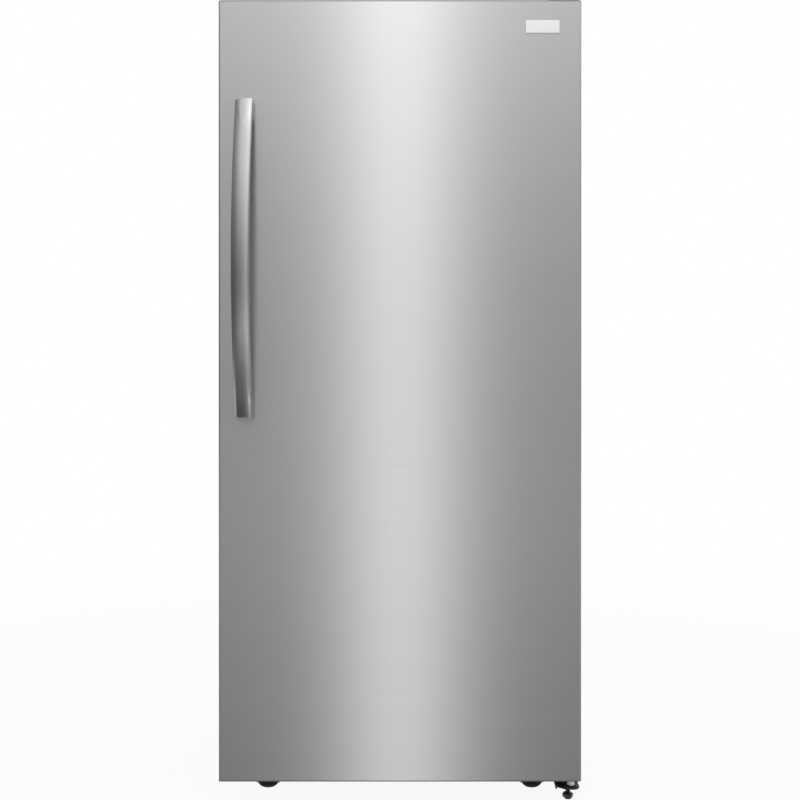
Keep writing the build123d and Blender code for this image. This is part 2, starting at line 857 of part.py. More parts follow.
def door_stop():
    """A folded plate under the door whose tab meets the bracket's lug when the door is wide open."""
    low = door_lift - stop_plate
    plate = span((hinge_x + bush_r + stop_gap, door_x - stop_in), (hinge_y - stop_half, hinge_y + stop_half),
                 (low, door_lift))
    tab = span((hinge_x + stop_r - stop_size / 2, hinge_x + stop_r + stop_size / 2),
               (hinge_y - stop_size / 2, hinge_y + stop_size / 2), (leaf_top + stop_low, low + 1))
    return plate + (tab - rod_z(bush_r + stop_gap, leaf_top, door_lift, hinge_x, hinge_y))


def leveling_leg():
    z0 = pad_high
    across = leg_flats / math.sqrt(3)
    foot = extrude(RegularPolygon(across, 6), leg_foot)
    ends = foot.faces().sort_by(Axis.Z)
    foot = chamfer(ends[0].edges() + ends[-1].edges(), leg_chamfer)
    stem = rod_z(leg_r, 0, leg_top - z0, 0, 0)
    return Pos(leg_x, leg_y, z0) * (foot + stem)


def leg_pad():
    return rod_z(pad_r, 0, pad_high, leg_x, leg_y)


# Door

def door_outline(inset, back_inset):
    """The door's plan, with its front corners bent, as a sketch."""
    x = door_x - inset
    y0 = door_front + inset
    y1 = door_back - back_inset
    plan = Pos(0, (y0 + y1) / 2) * Rectangle(2 * x, y1 - y0)
    return fillet(plan.vertices().group_by(Axis.Y)[0], max(door_bend - inset, 0.5))


def door_outer_panel():
    mouth = Pos(0, door_back) * Rectangle(2 * (door_x - door_hem), 4 * sheet)
    plan = door_outline(0, 0) - door_outline(sheet, sheet) - mouth
    z0 = door_lift + cap_lip
    panel = Pos(0, 0, z0) * extrude(plan, door_height - 2 * cap_lip)
    for x, z in stud_places():
        panel -= rod_y(stud_r, door_front - 1, door_front + 2, x, z)
    return panel


def end_cap():
    """An end cap with its outside up, at height zero."""
    lip = extrude(door_outline(0, 0), cap_lip)
    rim = [e for e in lip.edges().group_by(Axis.Z)[-1] if e.center().Y < door_back - 0.5]
    lip = chamfer(rim, cap_ease)
    edge = sheet + fit
    back = max(sheet, skin) + fit
    half = door_x - edge
    y = (door_front + edge, door_back - back)
    box = span((-half, half), y, (-cap_skirt, 0))
    corners = box.edges().filter_by(Axis.Z).group_by(Axis.Y)[0]
    box = chamfer(corners, door_bend - edge)
    box -= span((cap_wall - half, half - cap_wall), (y[0] + cap_wall, y[1] - cap_wall), (-cap_skirt - 1, 0))
    side = bush_r + boss_wall
    boss = span((hinge_x - side, half), (hinge_y - side, hinge_y + side), (-cap_skirt, 0))
    return lip + box + boss


def door_end_cap_top():
    return Pos(0, 0, door_top - cap_lip) * end_cap() - bushing_room()


def door_end_cap_bottom():
    cap = Pos(0, 0, door_lift + cap_lip) * mirror(end_cap(), about=Plane.XY)
    return cap - bushing_room()


def behind_plane(y):
    """A sketch plane across the door at depth y, facing the cabinet."""
    return Plane(origin=(0, y, (dyke_low + dyke_top) / 2), x_dir=(1, 0, 0), z_dir=(0, 1, 0))


def door_liner_ring(foot, mouth, base, face, pan, ease):
    """The raised ring between two outlines, standing on base, with its crest eased."""
    ring = behind_plane(base) * extrude(foot, face - base)
    ring = chamfer(ring.faces().sort_by(Axis.Y)[-1].edges(), ease)
    return ring - behind_plane(pan) * extrude(mouth, face + 1 - pan)


def door_liner_outside():
    high = dyke_top - dyke_low
    foot = RectangleRounded(2 * dyke_x, high, dyke_round)
    mouth = RectangleRounded(2 * (dyke_x - dyke_width), high - 2 * dyke_width, dyke_round)
    return door_liner_ring(foot, mouth, door_back - skin, dyke_face, pan_face, dyke_ease)


def dyke_flat():
    """Size of the flat that stands for the ring's rounded corners on its hidden side."""
    return (2 - math.sqrt(2)) * dyke_round


def door_liner_inside():
    """The liner's hidden surface, one skin deeper, with flats where the outside is rounded."""
    high = dyke_top - dyke_low
    flat = dyke_flat()
    foot = Rectangle(2 * (dyke_x - skin), high - 2 * skin)
    foot = chamfer(foot.vertices(), flat + skin)
    grown = dyke_width - skin
    mouth = Rectangle(2 * (dyke_x - grown), high - 2 * grown)
    mouth = chamfer(mouth.vertices(), flat)
    crest = dyke_ease - (2 - math.sqrt(2)) * skin
    return door_liner_ring(foot, mouth, door_back - skin, dyke_face - skin, pan_face - skin, crest)


def door_liner():
    z = (door_lift + cap_lip, door_top - cap_lip)
    x = door_x - door_hem
    flange = span((-x, x), (door_back - skin, door_back), z)
    groove = gasket_frame(gasket_neck, door_back - 1, door_back + 1)
    liner = flange + door_liner_outside()
    for floor in bin_floors():
        for lug in bin_lugs(floor):
            liner += lug
    return liner - door_liner_inside() - groove


def bin_floors():
    """Height of each door bin's floor, from the lowest up."""
    low = in_low + bin_first
    rise = (in_top - bin_last - low) / (bin_count - 1)
    return [low + rise * n for n in range(bin_count)]


def bin_lugs(floor):
    """The two hooks on the ring's inner sides that a door bin hangs on."""
    x = dyke_x - dyke_width
    z = floor + bin_hang
    y0 = pan_face + lug_out
    lug = span((x - lug_wide, x + 5), (y0, y0 + lug_deep), (z - lug_high, z))
    low = lug.edges().filter_by(Axis.Y).group_by(Axis.Z)[0].sort_by(Axis.X)[0]
    lug = chamfer(low, lug_high - lug_edge, lug_wide - lug_edge)
    return [lug, flip_x(lug)]


def gasket_frame(width, y0, y1):
    """A rectangular frame of the given width, on the middle line of the door gasket."""
    mid_inset = gasket_inset + gasket_width / 2
    out_x = door_x - mid_inset + width / 2
    in_frame = out_x - width
    low = door_lift + mid_inset - width / 2
    high = door_top - mid_inset + width / 2
    frame = span((-out_x, out_x), (y0, y1), (low, high))
    return frame - span((-in_frame, in_frame), (y0 - 1, y1 + 1), (low + width, high - width))


def door_gasket():
    y0 = door_back
    y1 = cab_front - slide_gap
    base = gasket_frame(gasket_width, y0, y0 + gasket_lip)
    neck = gasket_frame(gasket_neck - 2 * fit, y0 - 1, y1 - 3)
    head = gasket_frame(gasket_head, y1 - gasket_base, y1)
    return base + neck + head


def door_insulation():
    """The door's foam: the core behind the sheet, and four bars that fill the liner's ring."""
    z = (door_lift + cap_lip, door_top - cap_lip)
    plan = door_outline(sheet, 0) - Pos(0, door_back) * Rectangle(2 * door_x, 2 * max(sheet, skin))
    foam = Pos(0, 0, z[0]) * extrude(plan, z[1] - z[0]) + door_liner_inside()
    foam -= door_end_cap_top()
    foam -= door_end_cap_bottom()
    foam -= bushing_room()
    half = stud_r + stud_collar
    for x, at in stud_places():
        foam -= span((x - half, x + half), (door_front, door_front + stud_deep), (at - half, at + half))
    joint = pan_face - skin
    high = (door_lift, door_top)
    middle = (dyke_low + dyke_top) / 2
    ring = (joint, dyke_face)
    cut = dyke_x - dyke_width + skin - dyke_flat()
    cross = foam & span((-cut, cut), ring, high)
    bars = [cross & span((-cut, cut), ring, half) for half in ((high[0], middle), (middle, high[1]))]
    side = foam & span((cut, door_x), ring, high)
    return [foam & span((-door_x, door_x), (door_front, joint), high), side, flip_x(side), *bars]


# Handle

def handle_radius():
    half = handle_length / 2
    bow = math.hypot(handle_bow, handle_side_bow)
    return (half * half + bow * bow) / (2 * bow)


def handle_end_y():
    """Front of the bar where it is cut off at each end."""
    return door_front - handle_reach + handle_bow


def handle_turn(part):
    """Leans the bow's plane sideways about the line through the bar's ends."""
    lean = math.degrees(math.atan2(handle_side_bow, handle_bow))
    end_y = handle_end_y()
    return Pos(handle_x, end_y, 0) * Rot(0, 0, -lean) * Pos(-handle_x, -end_y, 0) * part


def handle_section():
    """The bar's cross section at mid height, with a crowned front, as a sketch."""
    x = handle_wide / 2
    front = handle_end_y() - math.hypot(handle_bow, handle_side_bow)
    side = front + handle_crown
    back = front + handle_thick
    crown = ThreePointArc((-x, side), (0, front), (x, side))
    rest = Polyline((x, side), (x, back), (-x, back), (-x, side))
    face = make_face(crown + rest)
    ends = [v for v in face.vertices() if abs(v.Y - side) < 0.01]
    face = fillet(ends, handle_round)
    return Pos(handle_x, 0, (handle_z0 + handle_z1) / 2) * face


def handle_bar():
    mid_z = (handle_z0 + handle_z1) / 2
    radius = handle_radius()
    centre_y = handle_end_y() - math.hypot(handle_bow, handle_side_bow) + radius
    axis = Axis((handle_x, centre_y, mid_z), (1, 0, 0))
    sweep_deg = 2 * math.degrees(math.asin((handle_length / 2 + 20) / radius))
    bar = revolve(handle_section(), axis, sweep_deg)
    start = Pos(0, centre_y, mid_z) * Rot(-sweep_deg / 2, 0, 0) * Pos(0, -centre_y, -mid_z)
    bar = start * bar
    reach = span((handle_x - 60, handle_x + 60), (door_front - handle_reach - 5, door_front),
                 (handle_z0, handle_z1))
    bar = handle_turn(bar) & reach
    half = handle_wide / 2 - foot_step
    y = (handle_end_y() + handle_thick - 5, door_front)
    for z0, z1 in ((handle_z0, handle_z0 + handle_foot), (handle_z1 - handle_foot, handle_z1)):
        bar += span((handle_x - half, handle_x + half), y, (z0, z1))
    for x, z in stud_places():
        bar -= rod_y(stud_r, door_front - stud_grip, door_front + 1, x, z)
    return bar


def stud_places():
    z = handle_foot / 2
    return [(handle_x, handle_z0 + z), (handle_x, handle_z1 - z)]


def handle_studs():
    """Shouldered studs fixed in the door's face, which the bar's feet fit over."""
    studs = []
    for x, z in stud_places():
        stud = rod_y(stud_r, door_front - stud_grip, door_front + stud_deep, x, z)
        studs.append(stud + rod_y(stud_r + stud_collar, door_front + sheet, door_front + stud_deep, x, z))
    return studs


def badge_plate():
    x1 = door_x - plate_inset
    z1 = door_top - plate_drop
    plate = span((x1 - plate_wide, x1), (door_front - plate_thick, door_front), (z1 - plate_high, z1))
    plate = fillet(plate.edges().filter_by(Axis.Y), plate_round)
    return chamfer(plate.faces().sort_by(Axis.Y)[0].edges(), plate_bevel)


# Air duct, evaporator and its fan

def vent_places():
    """Centres of the duct's air slots, on both sides of the middle."""
    rise = (duct_top - vent_last - fan_z - vent_first) / (vent_rows - 1)
    return [(side * (duct_wide / 2 - vent_inset), fan_z + vent_first + row * rise + n * vent_pitch)
            for row in range(vent_rows) for side in (-1, 1) for n in range(2)]


def evaporator_cover():
    half = duct_wide / 2
    w = duct_wall
    plan = Pos(0, (duct_front + in_back) / 2) * Rectangle(2 * half, duct_deep)
    plan = fillet(plan.vertices().group_by(Axis.Y)[0], duct_round)
    cover = Pos(0, 0, duct_base) * extrude(plan, duct_top - duct_base)
    inside = span((w - half, half - w), (duct_front + w, in_back + 1), (duct_base + w, duct_top - w))
    flat = (2 - math.sqrt(2)) * duct_round
    cover -= chamfer(inside.edges().filter_by(Axis.Z).group_by(Axis.Y)[0], flat)
    slots = [Pos(x, duct_front, z) * Box(vent_wide, duct_wall * 6, vent_high) for x, z in vent_places()]
    intake = Box(duct_wide - 2 * intake_in, duct_wall * 6, vent_high)
    slots += [Pos(0, duct_front, duct_base + intake_rise + n * vent_pitch) * intake for n in range(2)]
    return cover - slots


def evaporator_coil():
    """Rows of tube through a block of fins, with the U bends out at both ends."""
    z1 = evap_low + evap_pitch * (evap_rows - 1)
    heights = [z1 - row * evap_pitch for row in range(evap_rows)]
    reach = evap_half - evap_pitch
    half = fin_deep / 2
    z = (evap_low - evap_pitch / 2, z1 + evap_pitch / 2)
    coil = span((-reach, reach), (evap_y - fin_core / 2, evap_y + fin_core / 2), z)
    step = (2 * reach - fin_thick) / (evap_fins - 1)
    for n in range(evap_fins):
        x = n * step - reach
        back = in_back if n in (0, evap_fins - 1) else evap_y + half
        coil += span((x, x + fin_thick), (evap_y - half, back), z)
    for row in range(evap_rows - 1):
        side = 1 if row % 2 == 0 else -1
        out = side * (evap_half - evap_tube)
        near = side * (reach - 1)
        coil += tube([(near, evap_y, heights[row]), (out, evap_y, heights[row]),
                      (out, evap_y, heights[row + 1]), (near, evap_y, heights[row + 1])],
                     evap_tube, evap_pitch / 3)
    for height in (heights[0], heights[-1]):
        coil += rod_x(evap_tube, -evap_half, 1 - reach, evap_y, height)
    return coil


def fan_blades(tip_r, hub_r, deep, count):
    """A propeller round the Z axis, with pitched blades that taper at their tips."""
    chord = 2 * tip_r * math.sin(math.pi / count) * blade_share
    reach = math.sqrt(tip_r ** 2 - (chord * 0.3) ** 2) - 0.5
    pitch = math.degrees(math.asin((deep - 2 * blade_thick) / chord))
    plan = Polyline((0, -chord * 0.3), (reach, -chord * 0.3), (reach, chord * 0.3),
                    (reach - chord * 0.3, chord / 2), (hub_r, chord * 0.35), (0, 0), close=True)
    blade = Rot(pitch, 0, 0) * Pos(0, 0, -blade_thick / 2) * extrude(make_face(plan), blade_thick)
    fan = Cylinder(hub_r, deep)
    for n in range(count):
        fan += Rot(0, 0, 360 / count * n) * blade
    return fan


def evaporator_fan_motor():
    """The motor on its plate against the back wall, with the spindle pointing forwards."""
    seat = in_back - motor_plate
    front = seat - motor_long
    plate = span((-motor_plate_x, motor_plate_x), (seat, in_back),
                 (fan_z - motor_plate_z, fan_z + motor_plate_z))
    plate = chamfer(plate.edges().filter_by(Axis.Y), motor_corner)
    body = rod_y(motor_r, front, seat, 0, fan_z)
    body = chamfer(body.edges().filter_by(GeomType.CIRCLE).sort_by(Axis.Y)[0], motor_ease)
    return plate + body + rod_y(spindle_r, front - spindle_long, seat - 2, 0, fan_z)


def evaporator_fan_blade():
    blades = fan_blades(evap_fan_r, evap_hub_r, evap_fan_deep, evap_blades)
    blades -= Cylinder(spindle_r + shaft_gap, 2 * evap_fan_deep)
    y = in_back - motor_plate - motor_long - evap_fan_out
    return Pos(0, y, fan_z) * Rot(90, 0, 0) * blades


# Machine compartment

def mount_places():
    return [(comp_x + x, comp_mid + y) for x in (-mount_half_x, mount_half_x)
            for y in (-mount_half_y, mount_half_y)]


def compressor():
    """A welded can on a foot plate, with its terminal box and two ports."""
    z0 = tray_top + mount_high - foot_plate
    lip = seam_at + seam_high
    outline = Polyline((0, foot_plate), (can_r, foot_plate), (can_r, seam_at), (seam_r, seam_at),
                       (seam_r, lip), (can_r, lip), (can_r, can_high - dome_high), (can_r - dome_in, can_high),
                       (0, can_high), close=True)
    can = revolve(make_face(Plane.XZ * outline), Axis.Z)
    foot = Rectangle(2 * (mount_half_x + foot_margin), 2 * (mount_half_y + foot_margin))
    plate = extrude(chamfer(foot.vertices(), foot_corner), foot_plate)
    box = span((can_r - box_in, can_r + box_out), (-box_half, box_half), (box_low, box_high))
    box = chamfer(box.edges().group_by(Axis.X)[-1], box_ease)
    unit = Pos(comp_x, comp_mid, z0) * (can + plate + box)
    for x, y in port_places():
        unit += rod_z(port_r, z0 + can_high - port_deep, port_top(), x, y)
    for x, y in mount_places():
        unit -= rod_z(mount_neck_r, z0 - 1, z0 + foot_plate + 1, x, y)
    return unit


def port_places():
    """Discharge and suction ports on the compressor."""
    return [(comp_x + port_x, comp_mid + port_y), (comp_x - port_x, comp_mid - port_y)]


def port_top():
    return tray_top + mount_high + can_high + port_over


def compressor_mounts():
    """Rubber grommets with a neck through the foot plate."""
    z0 = tray_top + mount_high - foot_plate
    foot = Pos(0, 0, tray_top) * extrude(RegularPolygon(mount_r, mount_sides), z0 - tray_top)
    neck = Pos(0, 0, z0) * extrude(RegularPolygon(mount_neck_r, mount_sides), foot_plate + mount_lip)
    return [Pos(x, y) * (foot + neck) for x, y in mount_places()]


def condenser_top():
    return cond_low + cond_pitch * (cond_rows - 1)


def condenser_coil():
    """A bank of serpentine tube held by two end plates."""
    high = condenser_top()
    points = []
    for row in range(cond_rows):
        ends = [cond_left, cond_right] if row % 2 == 0 else [cond_right, cond_left]
        points += [(x, comp_mid, high - row * cond_pitch) for x in ends]
    coil = tube(points, cond_tube, cond_pitch / 3)
    y = (comp_mid - cond_plate_deep / 2, comp_mid + cond_plate_deep / 2)
    for x in (cond_left + cond_plate_in, cond_right - cond_plate_in - cond_end_plate):
        coil += span((x, x + cond_end_plate), y, (tray_top, high + cond_plate_over))
    return coil


def condenser_fan_motor():
    """A square shroud with a round mouth, and the motor held behind it on three arms."""
    half = shroud_wide / 2
    y = (comp_mid - half, comp_mid + half)
    shroud = span((0, shroud_thick), y, (tray_top, cond_fan_z + half))
    shroud -= rod_x(fan_hole, -1, shroud_thick + 1, comp_mid, cond_fan_z)
    shroud += span((-shroud_foot, shroud_thick), y, (tray_top, tray_top + shroud_thick))
    motor = rod_x(motor_r, -motor_back - motor_long, -motor_back, comp_mid, cond_fan_z)
    motor += rod_x(spindle_r, -motor_back - 2, motor_tip, comp_mid, cond_fan_z)
    reach = fan_hole + post_out
    x = -arm_step - motor_long / 4
    arm = span((x - arm_deep / 2, x + arm_deep / 2), (-arm_wide / 2, arm_wide / 2), (motor_r - 2, reach + 1))
    post = span((-post_start, post_end), (-arm_wide / 2, arm_wide / 2),
                (reach - arm_deep / 2, reach + arm_deep / 2))
    for n in range(3):
        motor += Pos(0, comp_mid, cond_fan_z) * Rot(120 * n, 0, 0) * (arm + post)
    return shroud + motor


def condenser_fan_blade():
    blades = fan_blades(cond_fan_r, cond_hub_r, cond_fan_deep, cond_blades)
    blades -= Cylinder(spindle_r + shaft_gap, 2 * cond_fan_deep)
    return Pos(cond_fan_x, comp_mid, cond_fan_z) * Rot(0, 90, 0) * blades


def drain_pan():
    x0 = cond_left + cond_plate_in + cond_end_plate + pan_side_gap
    x1 = cond_right - cond_plate_in - cond_end_plate - pan_side_gap
    y0 = comp_front + pan_end_gap
    y1 = cab_back - pan_end_gap
    w = pan_wall
    pan = span((x0, x1), (y0, y1), (tray_top, tray_top + pan_high))
    hollow = span((x0 + w, x1 - w), (y0 + w, y1 - w), (tray_top + w, tray_top + pan_high + 1))
    pan = chamfer(pan.edges().filter_by(Axis.Z), pan_corner)
    return pan - chamfer(hollow.edges().filter_by(Axis.Z), pan_corner - w / 2)


def refrigerant_lines():
    """Discharge, liquid and suction lines, with the filter drier in the liquid line."""
    (out_x, out_y), (in_port_x, in_port_y) = port_places()
    over = comp_top - line_drop
    high = condenser_top()
    discharge = tube([(cond_left, comp_mid, high), (line_x, comp_mid, high), (line_x, comp_mid, over),
                      (out_x, comp_mid, over), (out_x, out_y, over), (out_x, out_y, port_top())],
                     cond_tube, line_bend)
    y = comp_mid - port_y
    drier_low = cond_low + drier_rise
    low_line = tube([(cond_left, comp_mid, cond_low), (line_x, comp_mid, cond_low), (line_x, y, cond_low),
                     (line_x, y, drier_low)], cond_tube, line_bend)
    drier = rod_z(drier_r, drier_low, drier_low + drier_long, line_x, y)
    drier = chamfer(drier.edges().filter_by(GeomType.CIRCLE), drier_ease)
    high_line = rod_z(thin_line, drier_low + drier_long, comp_top, line_x, y)
    side_x = in_port_x - suction_in
    level = (port_top() + comp_top) / 2
    suction = tube([(in_port_x, in_port_y, port_top()), (in_port_x, in_port_y, level),
                    (side_x, in_port_y, level), (side_x, in_port_y, comp_top)], cond_tube, line_bend)
    return [discharge, low_line, drier, high_line, suction]


def machine_cover():
    """The slotted rear cover over the machine compartment, with the power inlet's gland."""
    cover = span((-cab_x, cab_x), (cab_back - sheet, cab_back), (tray_top, comp_top + seam_rise - seam_gap))
    x, z = gland_inset - cab_x, tray_top + gland_rise
    inner = cab_back - sheet - gland_out
    cover += nut_y(gland_r, inner, cab_back, x, z)
    cover -= rod_y(cord_r, inner - 1, cab_back + 1, x, z)
    middle = (tray_top + comp_top) / 2
    first = -louvre_pitch * (louvre_count - 1) / 2
    slot = Box(louvre_wide, 4 * sheet, louvre_high)
    slots = [Pos(mid + first + n * louvre_pitch, cab_back, middle) * slot
             for mid in (comp_x, (cond_left + cond_right) / 2) for n in range(louvre_count)]
    return cover - slots


# Control panel

def control_panel():
    y0 = cab_front + panel_front
    y1 = y0 + panel_deep
    z0 = in_top - panel_high
    half = panel_wide / 2
    ease = panel_ease
    body = side_profile([(y0, in_top), (y0, z0 + ease), (y0 + ease, z0), (y1 - panel_tail, z0),
                         (y1, in_top)], -half, half)
    y, z = lens_place()
    body -= span((-lens_wide / 2 - fit, lens_wide / 2 + fit), (y - lens_deep / 2 - fit, y + lens_deep / 2 + fit),
                 (z0 - 1, z0 + lens_sink))
    knob_z = z0 + panel_high / 2
    body += rod_y(spindle_r, y0 - knob_long + knob_grip, y0 + 1, 0, knob_z)
    return body - rod_y(switch_r + shaft_gap, y0 - 1, y0 + switch_hole, switch_x, knob_z)


def lens_place():
    return cab_front + panel_front + lens_back, in_top - panel_high


def light_lens():
    y, z = lens_place()
    lens = span((-lens_wide / 2, lens_wide / 2), (y - lens_deep / 2, y + lens_deep / 2),
                (z - lens_drop, z + lens_sink))
    return chamfer(lens.edges().filter_by(Axis.Z), lens_corner)


def temperature_knob():
    y0 = cab_front + panel_front
    z = in_top - panel_high / 2
    face = y0 - slide_gap
    skirt = knob_long - knob_grip
    knob = rod_y(knob_r, face - skirt, face, 0, z)
    knob = chamfer(knob.edges().filter_by(GeomType.CIRCLE).sort_by(Axis.Y)[0], knob_ease)
    half = knob_r - grip_in
    grip = span((-grip_half, grip_half), (face - knob_long, face - 1), (z - half, z + half))
    return knob + grip - rod_y(spindle_r + shaft_gap, face - skirt, y0 + 1, 0, z)


def light_switch_plunger():
    y0 = cab_front + panel_front
    tip = dyke_face + switch_out
    rod = rod_y(switch_r, tip, y0 + switch_tail, switch_x, in_top - panel_high / 2)
    return chamfer(rod.edges().filter_by(GeomType.CIRCLE).sort_by(Axis.Y)[0], switch_ease)


# Shelves

def slot_places():
    return [track_base + slot_end + slot_pitch * n for n in range(slot_count)]


def shelf_tracks():
    tracks = []
    half = track_wide / 2
    z0 = track_base
    z1 = slot_places()[-1] + slot_end
    front = in_back - track_deep
    for x in (-arm_x, arm_x):
        track = span((x - half, x + half), (front, in_back), (z0, z1))
        track -= span((x - half + track_wall, x + half - track_wall), (front + track_wall, in_back + 1),
                      (z0 - 1, z1 + 1))
        slots = [span((x - slot_wide / 2, x + slot_wide / 2), (front - 1, front + 2 * track_wall),
                      (z - slot_high / 2, z + slot_high / 2)) for z in slot_places()]
        tracks.append(track - slots)
    return tracks


def shelf_levels():
    """Underside of each shelf frame, set by the slot its upper hooks hang in."""
    slots = [slot_places()[shelf_first + shelf_step * n] for n in range(shelf_count)]
    return [z + slot_high / 2 for z in slots]


def shelf_arm(z):
    """A bracket arm in the plane of its track's slots, with two hooks."""
    face = in_back - track_deep
    hook = face + track_wall + hook_deep
    low = z - arm_tall
    arm = side_profile([(shelf_y0 + trim_deep, z), (face, z), (face, low), (face - arm_foot, low),
                        (shelf_y0 + trim_deep, z - arm_front_tall)], 0, arm_thick)
    for n in (0, 1):
        base = z - slot_high - n * slot_pitch
        arm += span((0, arm_thick), (face - 1, hook), (base, base + slot_high - 2))
        arm += span((0, arm_thick), (face + track_wall + fit, hook), (base - hook_drop / 2, base + 2))
    return arm


def shelf_frame(z):
    half = in_x - shelf_side_gap
    frame = span((-half, half), (shelf_y0, shelf_y1), (z, z + rim_high))
    frame = chamfer(frame.edges().filter_by(Axis.Z).group_by(Axis.Y)[-1], rim_corner)
    lip = glass_lip
    w = rim_wide
    frame -= span((w - half, half - w), (shelf_y0 + w, shelf_y1 - w), (z + glass_seat - glass_thick, z + 20))
    frame -= span((w + lip - half, half - w - lip), (shelf_y0 + w + lip, shelf_y1 - w - lip), (z - 1, z + 20))
    trim = span((-half, half), (shelf_y0, shelf_y0 + trim_deep), (z + rim_high - trim_high, z + rim_high + 1))
    frame += chamfer(trim.edges().filter_by(Axis.X).group_by(Axis.Y)[0], trim_ease)
    for x in (-arm_x, arm_x):
        frame += Pos(x - arm_thick / 2, 0, 0) * shelf_arm(z)
    return frame


def shelf_frames():
    return [shelf_frame(z) for z in shelf_levels()]


def glass_pane(z):
    half = in_x - shelf_side_gap - rim_wide - fit
    y = (shelf_y0 + rim_wide + fit, shelf_y1 - rim_wide - fit)
    return span((-half, half), y, (z + glass_seat - glass_thick, z + glass_seat))


def shelf_glass():
    panes = [glass_pane(z) for z in shelf_levels()]
    w = rim_wide + fit
    z = cover_z + glass_seat
    half = in_x - cover_side_gap - w
    y = (shelf_y0 + cover_trim + fit, step_y - cover_side_gap - w)
    panes.append(span((-half, half), y, (z - glass_thick, z)))
    return panes


# Crispers

def crisper_cover():
    """The frame over the crispers, with hangers at the sides and in the middle."""
    half = in_x - cover_side_gap
    z1 = cover_z + crisper_cover_high
    y1 = step_y - cover_side_gap
    w = rim_wide
    frame = span((-half, half), (shelf_y0, y1), (cover_z, z1))
    frame = fillet(frame.edges().filter_by(Axis.X).group_by(Axis.Y)[0], cover_edge)
    frame = fillet(frame.edges().filter_by(Axis.Z).group_by(Axis.Y)[-1], liner_corner)
    seat = cover_z + glass_seat - glass_thick
    frame -= span((w - half, half - w), (shelf_y0 + cover_trim, y1 - w), (seat, z1 + 1))
    w += glass_lip
    frame -= span((w - half, half - w), (shelf_y0 + cover_trim + glass_lip, y1 - w), (cover_z - 1, z1))
    y = (shelf_y0 + crisper_face + groove_deep, y1 - liner_corner)
    low = cover_z - hanger_drop
    side = span((half - hanger_thick, half), y, (low, cover_z + 1))
    side += span((half - hanger_ledge, half), y, (low, low + hanger_thick))
    middle = span((-hanger_thick / 2, hanger_thick / 2), y, (low, seat))
    middle += span((-hanger_ledge, hanger_ledge), y, (low, low + hanger_thick))
    frame += side + flip_x(side) + middle
    for side_sign in (-1, 1):
        frame -= humid_groove(side_sign)
    return frame


def humid_place(side):
    return side * in_x / 2, cover_z + crisper_cover_high / 2


def humid_groove(side):
    x, z = humid_place(side)
    long = humid_tab / 2 + humid_travel + slide_gap
    return span((x - long, x + long), (shelf_y0 - 1, shelf_y0 + groove_deep),
                (z - groove_half, z + groove_half))


def humidity_slider(side):
    x, z = humid_place(side)
    half = humid_tab / 2
    front = shelf_y0 - tab_out
    low = groove_half - slide_gap
    stem = span((x - half, x + half), (front, shelf_y0 + groove_deep - slide_gap), (z - low, z + low))
    tab = span((x - half, x + half), (front, shelf_y0 - slide_gap), (z - tab_half, z + tab_half))
    ridge = span((x - ridge_half, x + ridge_half), (shelf_y0 - ridge_out, front + 0.5),
                 (z - tab_half, z + tab_half))
    return stem + fillet(tab.edges().filter_by(Axis.Y), tab_round) + ridge


def crisper_right():
    """A drawer whose side rims run on the hangers of the crisper cover."""
    x0 = hanger_thick / 2 + crisper_side_gap
    x1 = in_x - cover_side_gap - hanger_thick - crisper_side_gap
    rail = cover_z - hanger_drop + hanger_thick
    rim_z = rail + slide_gap
    top = rim_z + crisper_rim_thick
    y0 = shelf_y0 + crisper_face
    y1 = step_y - crisper_back_gap
    z0 = in_low + crisper_floor_gap
    wall = crisper_wall
    wide, deep, high = x1 - x0 - 2 * crisper_rim, y1 - y0, top - z0
    mid = Pos((x0 + x1) / 2, (y0 + y1) / 2, top) * Rot(180, 0, 0)
    outside = Rectangle(wide, deep)
    inside = Rectangle(wide - 2 * wall, deep - 2 * wall)
    tub = mid * extrude(chamfer(outside.vertices(), crisper_corner), high, taper=crisper_draft)
    inside = chamfer(inside.vertices(), crisper_corner - wall / 2)
    hollow = mid * extrude(inside, high - wall, taper=crisper_draft)
    rims = span((x0, x1), (y0 + 2, y1), (rim_z, top))
    face = span((x0 + 1, x1 - 1), (shelf_y0, y0 + 3), (z0, cover_z - 2))
    face = fillet(face.edges().filter_by(Axis.Y), face_round)
    pull = span((x0 + pull_in, x1 - pull_in), (shelf_y0 - 1, shelf_y0 + 6),
                (cover_z - pull_low, cover_z - pull_top))
    pull = chamfer(pull.edges().filter_by(Axis.Y), pull_cut)
    room_over = span((x0 - 1, x1 + 1), (y0 + 3.1, y1 + 1), (top, cover_z))
    return tub + rims + face - hollow - pull - room_over


def crisper_left():
    return flip_x(crisper_right())


# Door bins

def door_bin(floor):
    """A bin that hangs by the rims of its end walls on the door liner's hooks."""
    half = dyke_x - dyke_width - slide_gap - bin_side_gap
    body = half - lug_wide - bin_side_gap
    y0 = pan_face + bin_back_gap
    mid = Pos(0, (y0 + bin_face) / 2, floor)
    deep = bin_face - y0
    lean = math.tan(math.radians(bin_draft)) * bin_high
    tub = mid * bin_block(body - lean, deep - 2 * lean, bin_round)
    inset = lean + bin_wall
    tub -= mid * Pos(0, 0, bin_wall) * bin_block(body - inset, deep - 2 * inset, bin_round - bin_wall)
    rest = floor + bin_hang + slide_gap
    y_lug = pan_face + lug_out
    ear = span((body - inset, half), (y_lug - ear_front, y_lug + lug_deep + ear_back),
               (rest, rest + ear_thick))
    ear -= mid * Pos(0, 0, bin_wall) * bin_block(body - inset, deep - 2 * inset, bin_round - bin_wall)
    front = span((-body + bin_round, body - bin_round), (bin_face - bin_lip_deep, bin_face),
                 (floor + bin_high - bin_lip_high, floor + bin_high))
    return tub + ear + flip_x(ear) + front


